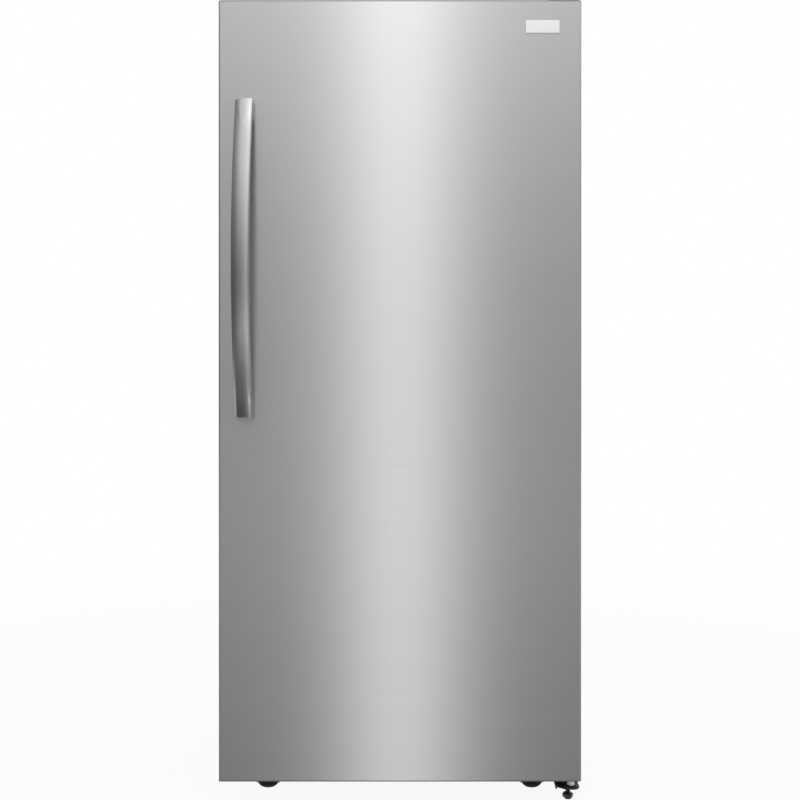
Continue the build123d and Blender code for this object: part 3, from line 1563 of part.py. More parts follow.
def bin_block(half, deep, corner):
    """A block the shape of a door bin, wider at its top, its corners cut at the side away from the door."""
    plan = Rectangle(2 * half, deep)
    plan = chamfer(plan.vertices().group_by(Axis.Y)[-1], corner)
    return extrude(plan, bin_high, taper=-bin_draft)


def piece_list():
    """Every named piece, as one solid or a list of like ones."""
    pieces = {
        "side_panel_right": side_panel(), "side_panel_left": flip_x(side_panel()),
        "top_panel": top_panel(),
        "back_panel": back_panel(), "base_deck": base_deck(), "front_rail": front_rail(),
        "compressor_tray": compressor_tray(), "cabinet_insulation": cabinet_insulation(),
        "inner_liner": inner_liner(), "roller_axles": roller_axles(),
        "top_hinge_bracket": top_hinge_bracket(), "top_hinge_cover": top_hinge_cover(),
        "hinge_screws": hinge_screws(), "bottom_hinge_bracket": bottom_hinge_bracket(),
        "hinge_washer": hinge_washer(), "leveling_leg": leveling_leg(), "leg_pad": leg_pad(),
        "evaporator_cover": evaporator_cover(), "evaporator_coil": evaporator_coil(),
        "evaporator_fan_motor": evaporator_fan_motor(), "evaporator_fan_blade": evaporator_fan_blade(),
        "compressor": compressor(), "compressor_mounts": compressor_mounts(),
        "condenser_coil": condenser_coil(), "condenser_fan_motor": condenser_fan_motor(),
        "condenser_fan_blade": condenser_fan_blade(), "drain_pan": drain_pan(),
        "refrigerant_lines": refrigerant_lines(), "machine_cover": machine_cover(),
        "control_panel": control_panel(), "light_lens": light_lens(),
        "temperature_knob": temperature_knob(), "light_switch_plunger": light_switch_plunger(),
        "shelf_tracks": shelf_tracks(), "shelf_frames": shelf_frames(), "shelf_glass": shelf_glass(),
        "crisper_cover": crisper_cover(), "crisper_right": crisper_right(), "crisper_left": crisper_left(),
        "humidity_slider_right": humidity_slider(1), "humidity_slider_left": humidity_slider(-1),
        "door_outer_panel": door_outer_panel(), "door_end_cap_top": door_end_cap_top(),
        "door_end_cap_bottom": door_end_cap_bottom(), "door_insulation": door_insulation(),
        "door_liner": door_liner(), "door_gasket": door_gasket(), "door_bushings": door_bushings(),
        "door_stop": door_stop(), "handle_bar": handle_bar(), "handle_studs": handle_studs(),
        "badge_plate": badge_plate(),
    }
    for n, floor in enumerate(bin_floors()):
        pieces[f"door_bin_{n + 1}"] = door_bin(floor)
    names = ["roller_front_left", "roller_front_right", "roller_rear_left", "roller_rear_right"]
    for name, (x, y, wide) in zip(names, roller_places()):
        edge = front_roller_round if "front" in name else rear_roller_round
        pieces[name] = Pos(x, y, roller_r) * roller(wide, edge)
    return pieces


os.makedirs("parts", exist_ok=True)
for name, piece in piece_list().items():
    group = piece if isinstance(piece, list) else [piece]
    solids = [solid for part in group for solid in part.solids()]
    export_step(solids[0] if len(solids) == 1 else Compound(solids), f"parts/{name}.step")
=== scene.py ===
import math

import bmesh
import bpy
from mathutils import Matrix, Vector


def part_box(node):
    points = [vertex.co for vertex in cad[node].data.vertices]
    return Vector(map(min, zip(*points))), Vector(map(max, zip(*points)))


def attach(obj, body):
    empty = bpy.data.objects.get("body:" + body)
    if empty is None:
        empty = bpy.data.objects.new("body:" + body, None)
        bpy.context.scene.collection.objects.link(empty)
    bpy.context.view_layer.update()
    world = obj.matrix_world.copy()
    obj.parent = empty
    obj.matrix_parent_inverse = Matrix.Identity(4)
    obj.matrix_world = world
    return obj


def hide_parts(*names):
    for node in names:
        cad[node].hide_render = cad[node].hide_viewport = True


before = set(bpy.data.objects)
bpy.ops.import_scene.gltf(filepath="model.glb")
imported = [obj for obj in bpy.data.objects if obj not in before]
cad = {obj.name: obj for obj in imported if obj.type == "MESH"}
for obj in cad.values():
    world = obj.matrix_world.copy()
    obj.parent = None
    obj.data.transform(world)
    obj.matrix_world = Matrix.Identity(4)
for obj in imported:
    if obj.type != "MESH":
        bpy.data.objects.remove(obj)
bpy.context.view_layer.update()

print("frame loaded:", len(cad), "nodes")


# Small helpers, most of them for node trees

def feed(tree, node, sockets):
    # gives a node's sockets plain values, or links other nodes' outputs to them
    for socket, value in sockets.items():
        if isinstance(value, bpy.types.NodeSocket):
            tree.links.new(value, node.inputs[socket])
        else:
            node.inputs[socket].default_value = value


def wire(tree, kind, sockets=None, **settings):
    # adds a shader node
    node = tree.nodes.new("ShaderNode" + kind)
    node.location = (220 * (len(tree.nodes) % 9), -260 * (len(tree.nodes) // 9))
    for key, value in settings.items():
        setattr(node, key, value)
    feed(tree, node, sockets or {})
    return node


def mathOf(tree, operation, *values):
    return wire(tree, "Math", dict(enumerate(values)), operation=operation).outputs[0]


def ramp(tree, value, low, high, start=0.0, end=1.0, curve="SMOOTHSTEP"):
    sockets = {"Value": value, "From Min": low, "From Max": high, "To Min": start, "To Max": end}
    return wire(tree, "MapRange", sockets, interpolation_type=curve).outputs["Result"]


def blendValue(tree, factor, a, b):
    return wire(tree, "Mix", {0: factor, 2: a, 3: b}).outputs[0]


def blendColour(tree, factor, a, b):
    return wire(tree, "Mix", {0: factor, 6: a, 7: b}, data_type="RGBA").outputs[2]


def blendVector(tree, factor, a, b):
    return wire(tree, "Mix", {0: factor, 4: a, 5: b}, data_type="VECTOR").outputs[1]


def grey(level):
    return (level, level, level, 1)


def raysFrom(tree):
    # which rays come from the camera, and which from metal or glass
    path = wire(tree, "LightPath").outputs
    return path["Is Camera Ray"], mathOf(tree, "MAXIMUM", path["Is Glossy Ray"], path["Is Transmission Ray"])


def middle(low, high):
    return (low + high) / 2


# Stage, camera and lights

cameraSet = {
    "distance": 2.2,            # from the door's face
    "height": 0.9386,
    "frameWidth": 1.8445,       # what the picture spans at the door's face
    "sensor": 36.0,
}
floorSet = {
    "radius": 9.0,
    "corners": 96,
    "litRadius": 1.6,           # the object's shadow is kept inside this
    "fadeRadius": 3.4,
    "tone": 0.82,
    "glow": 0.93,               # share of the floor that no shadow can darken
    "paperFront": (-0.28, -0.33),   # where the white paper ends in front, as a reflection shows it
}
worldSet = {
    "fill": 0.62,               # light on matt surfaces
    # what metal sees in front, by height from -1 below to 1 above
    "levels": ((-0.85, 0.6), (-0.65, 0.2), (-0.48, 0.03), (-0.3, 0.12), (-0.12, 0.5), (0.0, 0.22),
               (0.12, 0.27), (0.3, 0.56), (0.5, 0.96)),
    "side": (0.3, 0.9),         # the front grows dark from this far sideways to that
    "shares": (0.3, 0.75),      # to this much of its level on the left and on the right
    "behind": (0.85, 0.97),     # the white paper behind starts here
    "strip": (0.0, 0.085, 1.5),     # the tall lamp's half width, its soft edge and its level
    # a tall window to the right: how far round, half width, soft edge and level
    "window": (1.15, 0.1, 0.55, 0.45),
    "leastAhead": 0.02,         # keeps the division by it finite
}
lampSet = {
    "overhead": {"place": (0.0, -1.0, 3.7), "aim": (0.0, -0.1, 0.9), "size": (2.6, 2.0), "power": 26.0},
    "sideLeft": {"place": (-3.0, -1.8, 2.0), "aim": (0.0, 0.0, 0.9), "size": (1.4, 2.2), "power": 14.0},
    "sideRight": {"place": (3.0, -1.8, 2.0), "aim": (0.0, 0.0, 0.9), "size": (1.4, 2.2), "power": 14.0},
    "rear": {"place": (0.6, 3.4, 2.4), "aim": (0.0, 0.3, 0.9), "size": (2.4, 1.8), "power": 22.0},
}
insideLamp = {
    "below": 0.004,             # under the lens
    "aimHeight": 0.5,
    "power": 0.95,
}


def makeCamera():
    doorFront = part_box("door_outer_panel")[0].y
    data = bpy.data.cameras.new("camera")
    data.sensor_width = cameraSet["sensor"]
    data.lens = cameraSet["sensor"] * cameraSet["distance"] / cameraSet["frameWidth"]
    camera = bpy.data.objects.new("camera", data)
    camera.location = (0, doorFront - cameraSet["distance"], cameraSet["height"])
    camera.rotation_euler = (math.pi / 2, 0, 0)
    bpy.context.scene.collection.objects.link(camera)
    bpy.context.scene.camera = camera


def makeLamp(name, place, aim, size, power):
    data = bpy.data.lights.new(name, "AREA")
    data.shape = "RECTANGLE"
    data.size, data.size_y = size
    data.energy = power
    lamp = bpy.data.objects.new(name, data)
    lamp.location = place
    lamp.rotation_euler = (Vector(aim) - Vector(place)).to_track_quat("-Z", "Y").to_euler()
    lamp.visible_glossy = not name.startswith("side")   # they would show as bright lines in the handle
    bpy.context.scene.collection.objects.link(lamp)


def makeInsideLamp():
    # as large as the lens that it shines from
    low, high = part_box("light_lens")
    x, y, _ = middle(low, high)
    makeLamp("inside", (x, y, low.z - insideLamp["below"]), (x, y, insideLamp["aimHeight"]),
             (high.x - low.x, high.y - low.y), insideLamp["power"])


def makeWorld():
    world = bpy.data.worlds.new("studio")
    bpy.context.scene.world = world
    world.use_nodes = True
    tree = world.node_tree
    tree.nodes.clear()
    look = wire(tree, "TexCoord").outputs["Generated"]
    axes = wire(tree, "SeparateXYZ", {0: look}).outputs
    sideways = mathOf(tree, "ABSOLUTE", axes["X"])
    levels = wire(tree, "ValToRGB", {0: ramp(tree, axes["Z"], -1.0, 1.0, curve="LINEAR")})
    stops = levels.color_ramp.elements
    while len(stops) < len(worldSet["levels"]):
        stops.new(0.5)
    for stop, (height, level) in zip(stops, worldSet["levels"]):
        stop.position = (height + 1) / 2
        stop.color = grey(level)
    front = levels.outputs[0]
    for share, sign in zip(worldSet["shares"], (-1.0, 1.0)):
        out = mathOf(tree, "MULTIPLY", axes["X"], sign)
        front = mathOf(tree, "MULTIPLY", front, ramp(tree, out, *worldSet["side"], 1.0, share))
    ahead = mathOf(tree, "MAXIMUM", mathOf(tree, "MULTIPLY", axes["Y"], -1.0), worldSet["leastAhead"])
    core, edge, strength = worldSet["strip"]
    strip = ramp(tree, mathOf(tree, "DIVIDE", sideways, ahead), core, edge, strength, 0.0)
    front = mathOf(tree, "ADD", front, strip)
    turn, half, soft, strength = worldSet["window"]
    beside = mathOf(tree, "SUBTRACT", mathOf(tree, "DIVIDE", axes["X"], ahead), turn)
    window = ramp(tree, mathOf(tree, "ABSOLUTE", beside), half, soft, strength, 0.0)
    front = mathOf(tree, "ADD", front, window)
    metalSees = blendValue(tree, ramp(tree, axes["Y"], *worldSet["behind"]), front, 1.0)
    camera, shiny = raysFrom(tree)
    level = blendValue(tree, shiny, worldSet["fill"], metalSees)
    level = blendValue(tree, camera, level, 1.0)
    light = wire(tree, "Background", {"Color": grey(1), "Strength": level}).outputs[0]
    wire(tree, "OutputWorld", {"Surface": light})
    world.cycles.sampling_method = "NONE"


def makeFloor():
    count, radius = floorSet["corners"], floorSet["radius"]
    turns = [2 * math.pi * n / count for n in range(count)]
    mesh = bpy.data.meshes.new("floor")
    mesh.from_pydata([(radius * math.cos(turn), radius * math.sin(turn), 0) for turn in turns],
                     [], [list(range(count))])
    floor = bpy.data.objects.new("floor", mesh)
    bpy.context.scene.collection.objects.link(floor)
    material = bpy.data.materials.new("paleFloor")
    material.use_nodes = True
    tree = material.node_tree
    tree.nodes.clear()
    place = wire(tree, "TexCoord").outputs["Object"]
    away = wire(tree, "VectorMath", {0: place}, operation="LENGTH").outputs["Value"]
    fade = ramp(tree, away, floorSet["litRadius"], floorSet["fadeRadius"], floorSet["glow"], 1.0)
    camera, shiny = raysFrom(tree)
    seen = mathOf(tree, "MAXIMUM", camera, shiny)
    matt = wire(tree, "BsdfDiffuse", {"Color": grey(floorSet["tone"])}).outputs[0]
    white = wire(tree, "Emission").outputs[0]
    both = wire(tree, "MixShader", {0: mathOf(tree, "MULTIPLY", fade, seen), 1: matt, 2: white}).outputs[0]
    start, end = floorSet["paperFront"]
    ahead = ramp(tree, wire(tree, "SeparateXYZ", {0: place}).outputs["Y"], start, end)
    under = wire(tree, "NewGeometry").outputs["Backfacing"]
    hidden = mathOf(tree, "MAXIMUM", under, mathOf(tree, "MULTIPLY", ahead, shiny))
    clear = wire(tree, "BsdfTransparent").outputs[0]
    shown = wire(tree, "MixShader", {0: hidden, 1: both, 2: clear}).outputs[0]
    wire(tree, "OutputMaterial", {"Surface": shown})
    mesh.materials.append(material)


bpy.context.scene.view_settings.view_transform = "Standard"
makeCamera()
makeWorld()
makeFloor()
for lampName, lampValues in lampSet.items():
    makeLamp(lampName, **lampValues)
makeInsideLamp()
print("stage made")


# Node groups shared by the finishes

brushSet = {
    "fineStretch": (0.006, 0.6),    # along the lines, and in depth
    "fineDetail": 3.0,
    "broadStretch": (0.02, 1.0),
    "broadScale": 55.0,
    "broadDetail": 4.0,
    "broadRough": 0.65,
    "broadShare": 0.4,
}
textureSet = {
    "grainShare": 0.5,
    "cloudDetail": 5.0,
    "cloudRough": 0.6,
    "cloudRange": (0.3, 0.7),
}
edgeSet = {
    "samples": 4,
    "bend": (0.99, 0.8),        # how alike both normals are where the mask starts and is full
}
dustSet = {
    "facing": (0.4, 0.95),      # how far a surface faces up where dust starts to lie and lies fully
    "patchScale": 14.0,
    "patchDetail": 6.0,
    "patchRough": 0.7,
    "patches": (0.35, 0.75, 0.3, 1.0),      # range of the noise, and the thickness it spans
    "colour": (0.42, 0.4, 0.37, 1),
    "rough": 0.9,
}
spangleSet = {
    "warpScale": 40.0,
    "warp": 0.02,
}


def newGroup(name, inputs, outputs):
    group = bpy.data.node_groups.new(name, "ShaderNodeTree")
    for label, value in inputs.items():
        socket = group.interface.new_socket(label, in_out="INPUT", socket_type="NodeSocketFloat")
        socket.default_value = value
    for label in outputs:
        kind = "NodeSocketVector" if label == "Normal" else "NodeSocketFloat"
        group.interface.new_socket(label, in_out="OUTPUT", socket_type=kind)
    start = group.nodes.new("NodeGroupInput")
    end = group.nodes.new("NodeGroupOutput")
    end.location = (1800, 0)
    return group, start.outputs, end


def noise(tree, place, scale, detail=2.0, rough=0.5):
    sockets = {"Vector": place, "Scale": scale, "Detail": detail, "Roughness": rough}
    return wire(tree, "TexNoise", sockets).outputs


def makeBrushGrain():
    # fine lines along X, or along Z where Upright is 1, with broader streaks under them
    s = brushSet
    group, given, result = newGroup("brushGrain", {"Fineness": 900.0, "Upright": 0.0}, ("Height", "Streaks"))
    place = wire(group, "TexCoord").outputs["Object"]

    def stretched(along, depth):
        flat, upright = (wire(group, "VectorMath", {0: place, 1: scale}, operation="MULTIPLY").outputs[0]
                         for scale in ((along, depth, 1.0), (1.0, depth, along)))
        return blendVector(group, given["Upright"], flat, upright)

    fine = noise(group, stretched(*s["fineStretch"]), given["Fineness"], s["fineDetail"])[0]
    broad = noise(group, stretched(*s["broadStretch"]), s["broadScale"], s["broadDetail"], s["broadRough"])[0]
    feed(group, result, {"Height": fine, "Streaks": blendValue(group, s["broadShare"], fine, broad)})
    return group


def makeFineTexture():
    # the pebbled skin of paint and moulded plastic, and slow changes of tone
    s = textureSet
    group, given, result = newGroup("fineTexture", {"Scale": 600.0, "Cloud Scale": 5.0}, ("Height", "Cloud"))
    place = wire(group, "TexCoord").outputs["Object"]
    cells = {"Vector": place, "Scale": given["Scale"]}
    pebble = wire(group, "TexVoronoi", cells, feature="SMOOTH_F1").outputs[0]
    grain = noise(group, place, given["Scale"])[0]
    cloud = noise(group, place, given["Cloud Scale"], s["cloudDetail"], s["cloudRough"])[0]
    feed(group, result, {"Height": blendValue(group, s["grainShare"], pebble, grain),
                         "Cloud": ramp(group, cloud, *s["cloudRange"])})
    return group


def makeSoftEdge():
    # rounds sharp edges in the shading, and masks them for wear
    group, given, result = newGroup("softEdge", {"Radius": 0.001}, ("Normal", "Edge"))
    bevel = wire(group, "Bevel", {"Radius": given["Radius"]}, samples=edgeSet["samples"]).outputs[0]
    flat = wire(group, "NewGeometry").outputs["Normal"]
    match = wire(group, "VectorMath", {0: bevel, 1: flat}, operation="DOT_PRODUCT").outputs["Value"]
    feed(group, result, {"Normal": bevel, "Edge": ramp(group, match, *edgeSet["bend"])})
    return group


def makeDustFilm():
    # settles on what faces up, thicker in patches
    s = dustSet
    group, given, result = newGroup("dustFilm", {"Amount": 0.2}, ("Dust",))
    up = wire(group, "SeparateXYZ", {0: wire(group, "NewGeometry").outputs["Normal"]}).outputs["Z"]
    place = wire(group, "TexCoord").outputs["Object"]
    patch = noise(group, place, s["patchScale"], s["patchDetail"], s["patchRough"])[0]
    lying = mathOf(group, "MULTIPLY", ramp(group, up, *s["facing"]), ramp(group, patch, *s["patches"]))
    feed(group, result, {"Dust": mathOf(group, "MULTIPLY", lying, given["Amount"])})
    return group


def makeSpangle():
    # crystal flakes of a zinc coat
    group, given, result = newGroup("spangle", {"Scale": 130.0}, ("Tone",))
    place = wire(group, "TexCoord").outputs["Object"]
    warp = noise(group, place, spangleSet["warpScale"])["Color"]
    bent = blendVector(group, spangleSet["warp"], place, warp)
    flakes = wire(group, "TexVoronoi", {"Vector": bent, "Scale": given["Scale"]}).outputs
    feed(group, result, {"Tone": wire(group, "SeparateColor", {0: flakes["Color"]}).outputs[0]})
    return group


brushGrain, fineTexture, softEdge = makeBrushGrain(), makeFineTexture(), makeSoftEdge()
dustFilm, spangle = makeDustFilm(), makeSpangle()
print("node groups made")


# Finishes
# tone: darkest and lightest colour; rough: least and most roughness; pebble: cells a metre of the texture,
# and its height in metres; edge: radius that softens edges, and how far wear lightens them

finishes = {
    "sidePaint": {"tone": ((0.112, 0.115, 0.119), (0.118, 0.121, 0.125)), "rough": (0.4, 0.43),
                  "pebble": (520, 0.00022), "edge": (0.0012, 0.12), "dust": 0.05},
    "capPlastic": {"tone": ((0.018, 0.018, 0.019), (0.03, 0.03, 0.032)), "rough": (0.34, 0.46),
                   "pebble": (1400, 0.00005), "edge": (0.0008, 0.1), "dust": 0.1},
    "blackSteel": {"tone": ((0.009, 0.009, 0.009), (0.016, 0.016, 0.016)), "rough": (0.4, 0.5),
                   "gloss": 0.25, "pebble": (900, 0.00006), "edge": (0.0008, 0.25), "dust": 0.12},
    "brightSteel": {"tone": ((0.5, 0.49, 0.47), (0.62, 0.61, 0.6)), "rough": (0.22, 0.34), "metal": 1.0,
                    "pebble": (1100, 0.00002), "edge": (0.0005, 0.1), "dust": 0.05},
    "badgeMetal": {"tone": ((0.88, 0.885, 0.89), (0.91, 0.915, 0.92)), "rough": (0.34, 0.38), "metal": 0.6,
                   "pebble": (1600, 0.000002), "edge": (0.0004, 0.05), "dust": 0.0},
    "darkSteel": {"tone": ((0.02, 0.02, 0.021), (0.035, 0.035, 0.036)), "rough": (0.2, 0.3), "metal": 0.6,
                  "pebble": (1100, 0.00002), "edge": (0.0005, 0.15), "dust": 0.08},
    "foam": {"tone": ((0.62, 0.52, 0.33), (0.74, 0.65, 0.45)), "rough": (0.8, 0.95),
             "pebble": (260, 0.0011), "edge": (0.002, 0.0), "dust": 0.1},
    "whiteLiner": {"tone": ((0.775, 0.78, 0.775), (0.79, 0.795, 0.79)), "rough": (0.34, 0.37),
                   "pebble": (260, 0.00006), "edge": (0.0025, 0.0), "dust": 0.0},
    "gasketVinyl": {"tone": ((0.2, 0.2, 0.205), (0.26, 0.26, 0.265)), "rough": (0.48, 0.6),
                    "pebble": (1500, 0.00004), "edge": (0.0005, 0.0), "dust": 0.08},
    "nylon": {"tone": ((0.84, 0.84, 0.82), (0.9, 0.9, 0.88)), "rough": (0.35, 0.45),
              "subsurface": (0.15, 0.004), "pebble": (1300, 0.00004), "edge": (0.0006, 0.0), "dust": 0.08},
    "blackRubber": {"tone": ((0.014, 0.014, 0.014), (0.026, 0.026, 0.026)), "rough": (0.6, 0.75),
                    "pebble": (1500, 0.00008), "edge": (0.0008, 0.0), "dust": 0.25},
    "rollerPlastic": {"tone": ((0.005, 0.005, 0.005), (0.009, 0.009, 0.009)), "rough": (0.55, 0.65),
                      "gloss": 0.15, "pebble": (1200, 0.00005), "edge": (0.0006, 0.05), "dust": 0.1},
    "coilMetal": {"tone": ((0.72, 0.73, 0.74), (0.82, 0.83, 0.84)), "rough": (0.28, 0.42), "metal": 1.0,
                  "pebble": (900, 0.00004), "edge": (0.0004, 0.0), "dust": 0.05},
    "blackEnamel": {"tone": ((0.011, 0.011, 0.012), (0.02, 0.02, 0.021)), "rough": (0.18, 0.3),
                    "pebble": (420, 0.0001), "edge": (0.0015, 0.15), "dust": 0.35},
    "copper": {"tone": ((0.62, 0.3, 0.19), (0.78, 0.42, 0.28)), "rough": (0.26, 0.42), "metal": 1.0,
               "pebble": (700, 0.00003), "edge": (0.0004, 0.0), "dust": 0.15},
    "motorPlastic": {"tone": ((0.03, 0.03, 0.032), (0.045, 0.045, 0.047)), "rough": (0.4, 0.55),
                     "pebble": (1200, 0.00006), "edge": (0.0008, 0.1), "dust": 0.25},
    "fanPlastic": {"tone": ((0.56, 0.57, 0.58), (0.64, 0.65, 0.66)), "rough": (0.32, 0.42),
                   "pebble": (1200, 0.00003), "edge": (0.0006, 0.0), "dust": 0.2},
    "panPlastic": {"tone": ((0.05, 0.05, 0.052), (0.075, 0.075, 0.078)), "rough": (0.42, 0.55),
                   "pebble": (1000, 0.00006), "edge": (0.001, 0.05), "dust": 0.35},
    "knobPlastic": {"tone": ((0.5, 0.505, 0.51), (0.57, 0.575, 0.58)), "rough": (0.3, 0.38),
                    "pebble": (1700, 0.00003), "edge": (0.0007, 0.0), "dust": 0.02},
    "markInk": {"tone": ((0.05, 0.06, 0.08), (0.08, 0.09, 0.11)), "rough": (0.4, 0.5),
                "pebble": (1700, 0.00001), "edge": (0.0002, 0.0), "dust": 0.0},
    "shelfPaint": {"tone": ((0.76, 0.765, 0.77), (0.82, 0.825, 0.83)), "rough": (0.2, 0.3),
                   "pebble": (700, 0.00005), "edge": (0.001, 0.0), "dust": 0.03},
    "coverPlastic": {"tone": ((0.72, 0.725, 0.73), (0.78, 0.785, 0.79)), "rough": (0.24, 0.34),
                     "pebble": (1100, 0.00003), "edge": (0.0014, 0.0), "dust": 0.03},
}
stainlessSet = {
    "tone": (0.585, 0.6),
    "rough": (0.235, 0.265),
    "streaks": (0.3, 0.7),      # range of the streaks that spans the roughness
    "grain": 700.0,
    "grainHeight": 0.000004,
    "anisotropic": 0.8,
}
# turn: which way the reflections spread; the bar is brushed along its length
stainlessKinds = {
    "stainlessSheet": {"metal": 0.85, "turn": 0.25, "upright": 0.0},
    "stainlessBar": {"metal": 0.94, "turn": 0.0, "upright": 1.0},
}
zincSet = {
    "flakes": 130.0,
    "tone": (0.46, 0.6),
    "rough": (0.34, 0.5),
    "ripple": 0.0003,
    "edge": 0.0008,
    "dust": 0.2,
    "metal": 0.9,
}
clearSet = {
    "waves": 16.0,              # in a metre
    "edge": 0.0012,
    "rim": 0.9,                 # tone of the edges
    "through": 0.97,            # tone of the light that comes through
}
clearKinds = {
    "paneGlass": {"tint": (0.955, 0.985, 0.965), "rough": (0.02, 0.05), "ior": 1.5, "wave": 0.00002},
    "clearPolystyrene": {"tint": (0.97, 0.975, 0.985), "rough": (0.05, 0.12), "ior": 1.55, "wave": 0.00012},
}
lensSet = {
    "tone": (0.8, 0.86),
    "rough": (0.3, 0.42),
    "pebble": (500.0, 0.0006),
    "edge": 0.002,
    "subsurface": (0.3, 0.006),
    "glow": (1.0, 0.97, 0.92, 1),
    "glowStrength": 0.8,
}
madeOf = {
    "stainlessSheet": ("door_outer_panel",),
    "zincSheet": ("back_panel", "base_deck", "compressor_tray", "machine_cover"),
    "paneGlass": ("shelf_glass",),
    "clearPolystyrene": ("crisper_right", "crisper_left", "door_bin_1", "door_bin_2", "door_bin_3",
                         "door_bin_4"),
    "frostedLens": ("light_lens",),
    "capPlastic": ("door_end_cap_top", "door_end_cap_bottom", "top_hinge_cover", "door_stop"),
    "sidePaint": ("side_panel_right", "side_panel_left", "top_panel"),
    "blackSteel": ("front_rail", "top_hinge_bracket"),
    "brightSteel": ("hinge_screws", "roller_axles", "handle_studs"),
    "badgeMetal": ("badge_plate",),
    "foam": ("cabinet_insulation", "door_insulation"),
    "whiteLiner": ("inner_liner", "door_liner", "evaporator_cover", "control_panel"),
    "nylon": ("door_bushings", "hinge_washer"),
    "blackRubber": ("leg_pad", "compressor_mounts"),
    "coilMetal": ("evaporator_coil",),
    "blackEnamel": ("condenser_coil", "compressor"),
    "copper": ("refrigerant_lines",),
    "motorPlastic": ("evaporator_fan_motor", "condenser_fan_motor"),
    "fanPlastic": ("evaporator_fan_blade", "condenser_fan_blade"),
    "panPlastic": ("drain_pan",),
    "knobPlastic": ("light_switch_plunger", "humidity_slider_right", "humidity_slider_left"),
    "shelfPaint": ("shelf_tracks", "shelf_frames"),
    "coverPlastic": ("crisper_cover",),
}


def newMaterial(name):
    material = bpy.data.materials.new(name)
    material.use_nodes = True
    tree = material.node_tree
    return material, tree, tree.nodes["Principled BSDF"]


def grouped(tree, group, sockets):
    return wire(tree, "Group", sockets, node_tree=group).outputs


def spread(tree, value, low, high):
    # a roughness from low to high
    return ramp(tree, value, 0.0, 1.0, low, high, curve="LINEAR")


def bumped(tree, height, distance, normal=None):
    sockets = {"Height": height, "Distance": distance}
    if normal is not None:
        sockets["Normal"] = normal
    return wire(tree, "Bump", sockets).outputs[0]


def makeFinish(name, tone, rough, pebble, edge, dust, metal=0.0, subsurface=None, gloss=0.5):
    material, tree, shader = newMaterial(name)
    scale, height = pebble
    radius, wear = edge
    dark, pale = tone
    texture = grouped(tree, fineTexture, {"Scale": scale})
    soft = grouped(tree, softEdge, {"Radius": radius})
    colour = blendColour(tree, texture["Cloud"], (*dark, 1), (*pale, 1))
    if wear:
        worn = (*(min(1.0, level + wear) for level in pale), 1)
        colour = blendColour(tree, mathOf(tree, "MULTIPLY", soft["Edge"], texture["Cloud"]), colour, worn)
    roughness = spread(tree, texture["Cloud"], *rough)
    if dust:
        film = grouped(tree, dustFilm, {"Amount": dust})["Dust"]
        colour = blendColour(tree, film, colour, dustSet["colour"])
        roughness = blendValue(tree, film, roughness, dustSet["rough"])
    feed(tree, shader, {"Base Color": colour, "Roughness": roughness, "Metallic": metal,
                        "Specular IOR Level": gloss,
                        "Normal": bumped(tree, texture["Height"], height, soft["Normal"])})
    if subsurface:
        feed(tree, shader, dict(zip(("Subsurface Weight", "Subsurface Scale"), subsurface)))
    return material


def makeStainless(name, metal, turn, upright):
    s = stainlessSet
    material, tree, shader = newMaterial(name)
    grain = grouped(tree, brushGrain, {"Fineness": s["grain"], "Upright": upright})
    low, high = s["tone"]
    feed(tree, shader, {"Base Color": blendColour(tree, grain["Streaks"], grey(low), grey(high)),
                        "Roughness": ramp(tree, grain["Streaks"], *s["streaks"], *s["rough"], curve="LINEAR"),
                        "Normal": bumped(tree, grain["Height"], s["grainHeight"]),
                        "Metallic": metal, "Anisotropic": s["anisotropic"], "Anisotropic Rotation": turn})
    return material


def makeZincSheet():
    s = zincSet
    material, tree, shader = newMaterial("zincSheet")
    flakes = grouped(tree, spangle, {"Scale": s["flakes"]})["Tone"]
    cloud = grouped(tree, fineTexture, {})["Cloud"]
    soft = grouped(tree, softEdge, {"Radius": s["edge"]})["Normal"]
    film = grouped(tree, dustFilm, {"Amount": s["dust"]})["Dust"]
    low, high = s["tone"]
    colour = blendColour(tree, film, blendColour(tree, flakes, grey(low), grey(high)), dustSet["colour"])
    feed(tree, shader, {"Base Color": colour, "Roughness": spread(tree, flakes, *s["rough"]),
                        "Normal": bumped(tree, cloud, s["ripple"], soft), "Metallic": s["metal"]})
    return material


def makeClear(name, tint, rough, ior, wave):
    # panes and moulded clear plastic, a little wavy
    s = clearSet
    material, tree, shader = newMaterial(name)
    cloud = grouped(tree, fineTexture, {"Cloud Scale": s["waves"]})["Cloud"]
    soft = grouped(tree, softEdge, {"Radius": s["edge"]})
    rim, through = ((*(level * share for level in tint), 1) for share in (s["rim"], s["through"]))
    feed(tree, shader, {"Base Color": blendColour(tree, soft["Edge"], (*tint, 1), rim),
                        "Roughness": spread(tree, cloud, *rough),
                        "Normal": bumped(tree, cloud, wave, soft["Normal"]),
                        "Transmission Weight": 1.0, "IOR": ior})
    # lets light reach what stands behind
    path = wire(tree, "LightPath").outputs
    light = mathOf(tree, "MAXIMUM", path["Is Shadow Ray"], path["Is Diffuse Ray"])
    clear = wire(tree, "BsdfTransparent", {"Color": through}).outputs[0]
    shown = wire(tree, "MixShader", {0: light, 1: shader.outputs[0], 2: clear}).outputs[0]
    feed(tree, tree.nodes["Material Output"], {"Surface": shown})
    return material


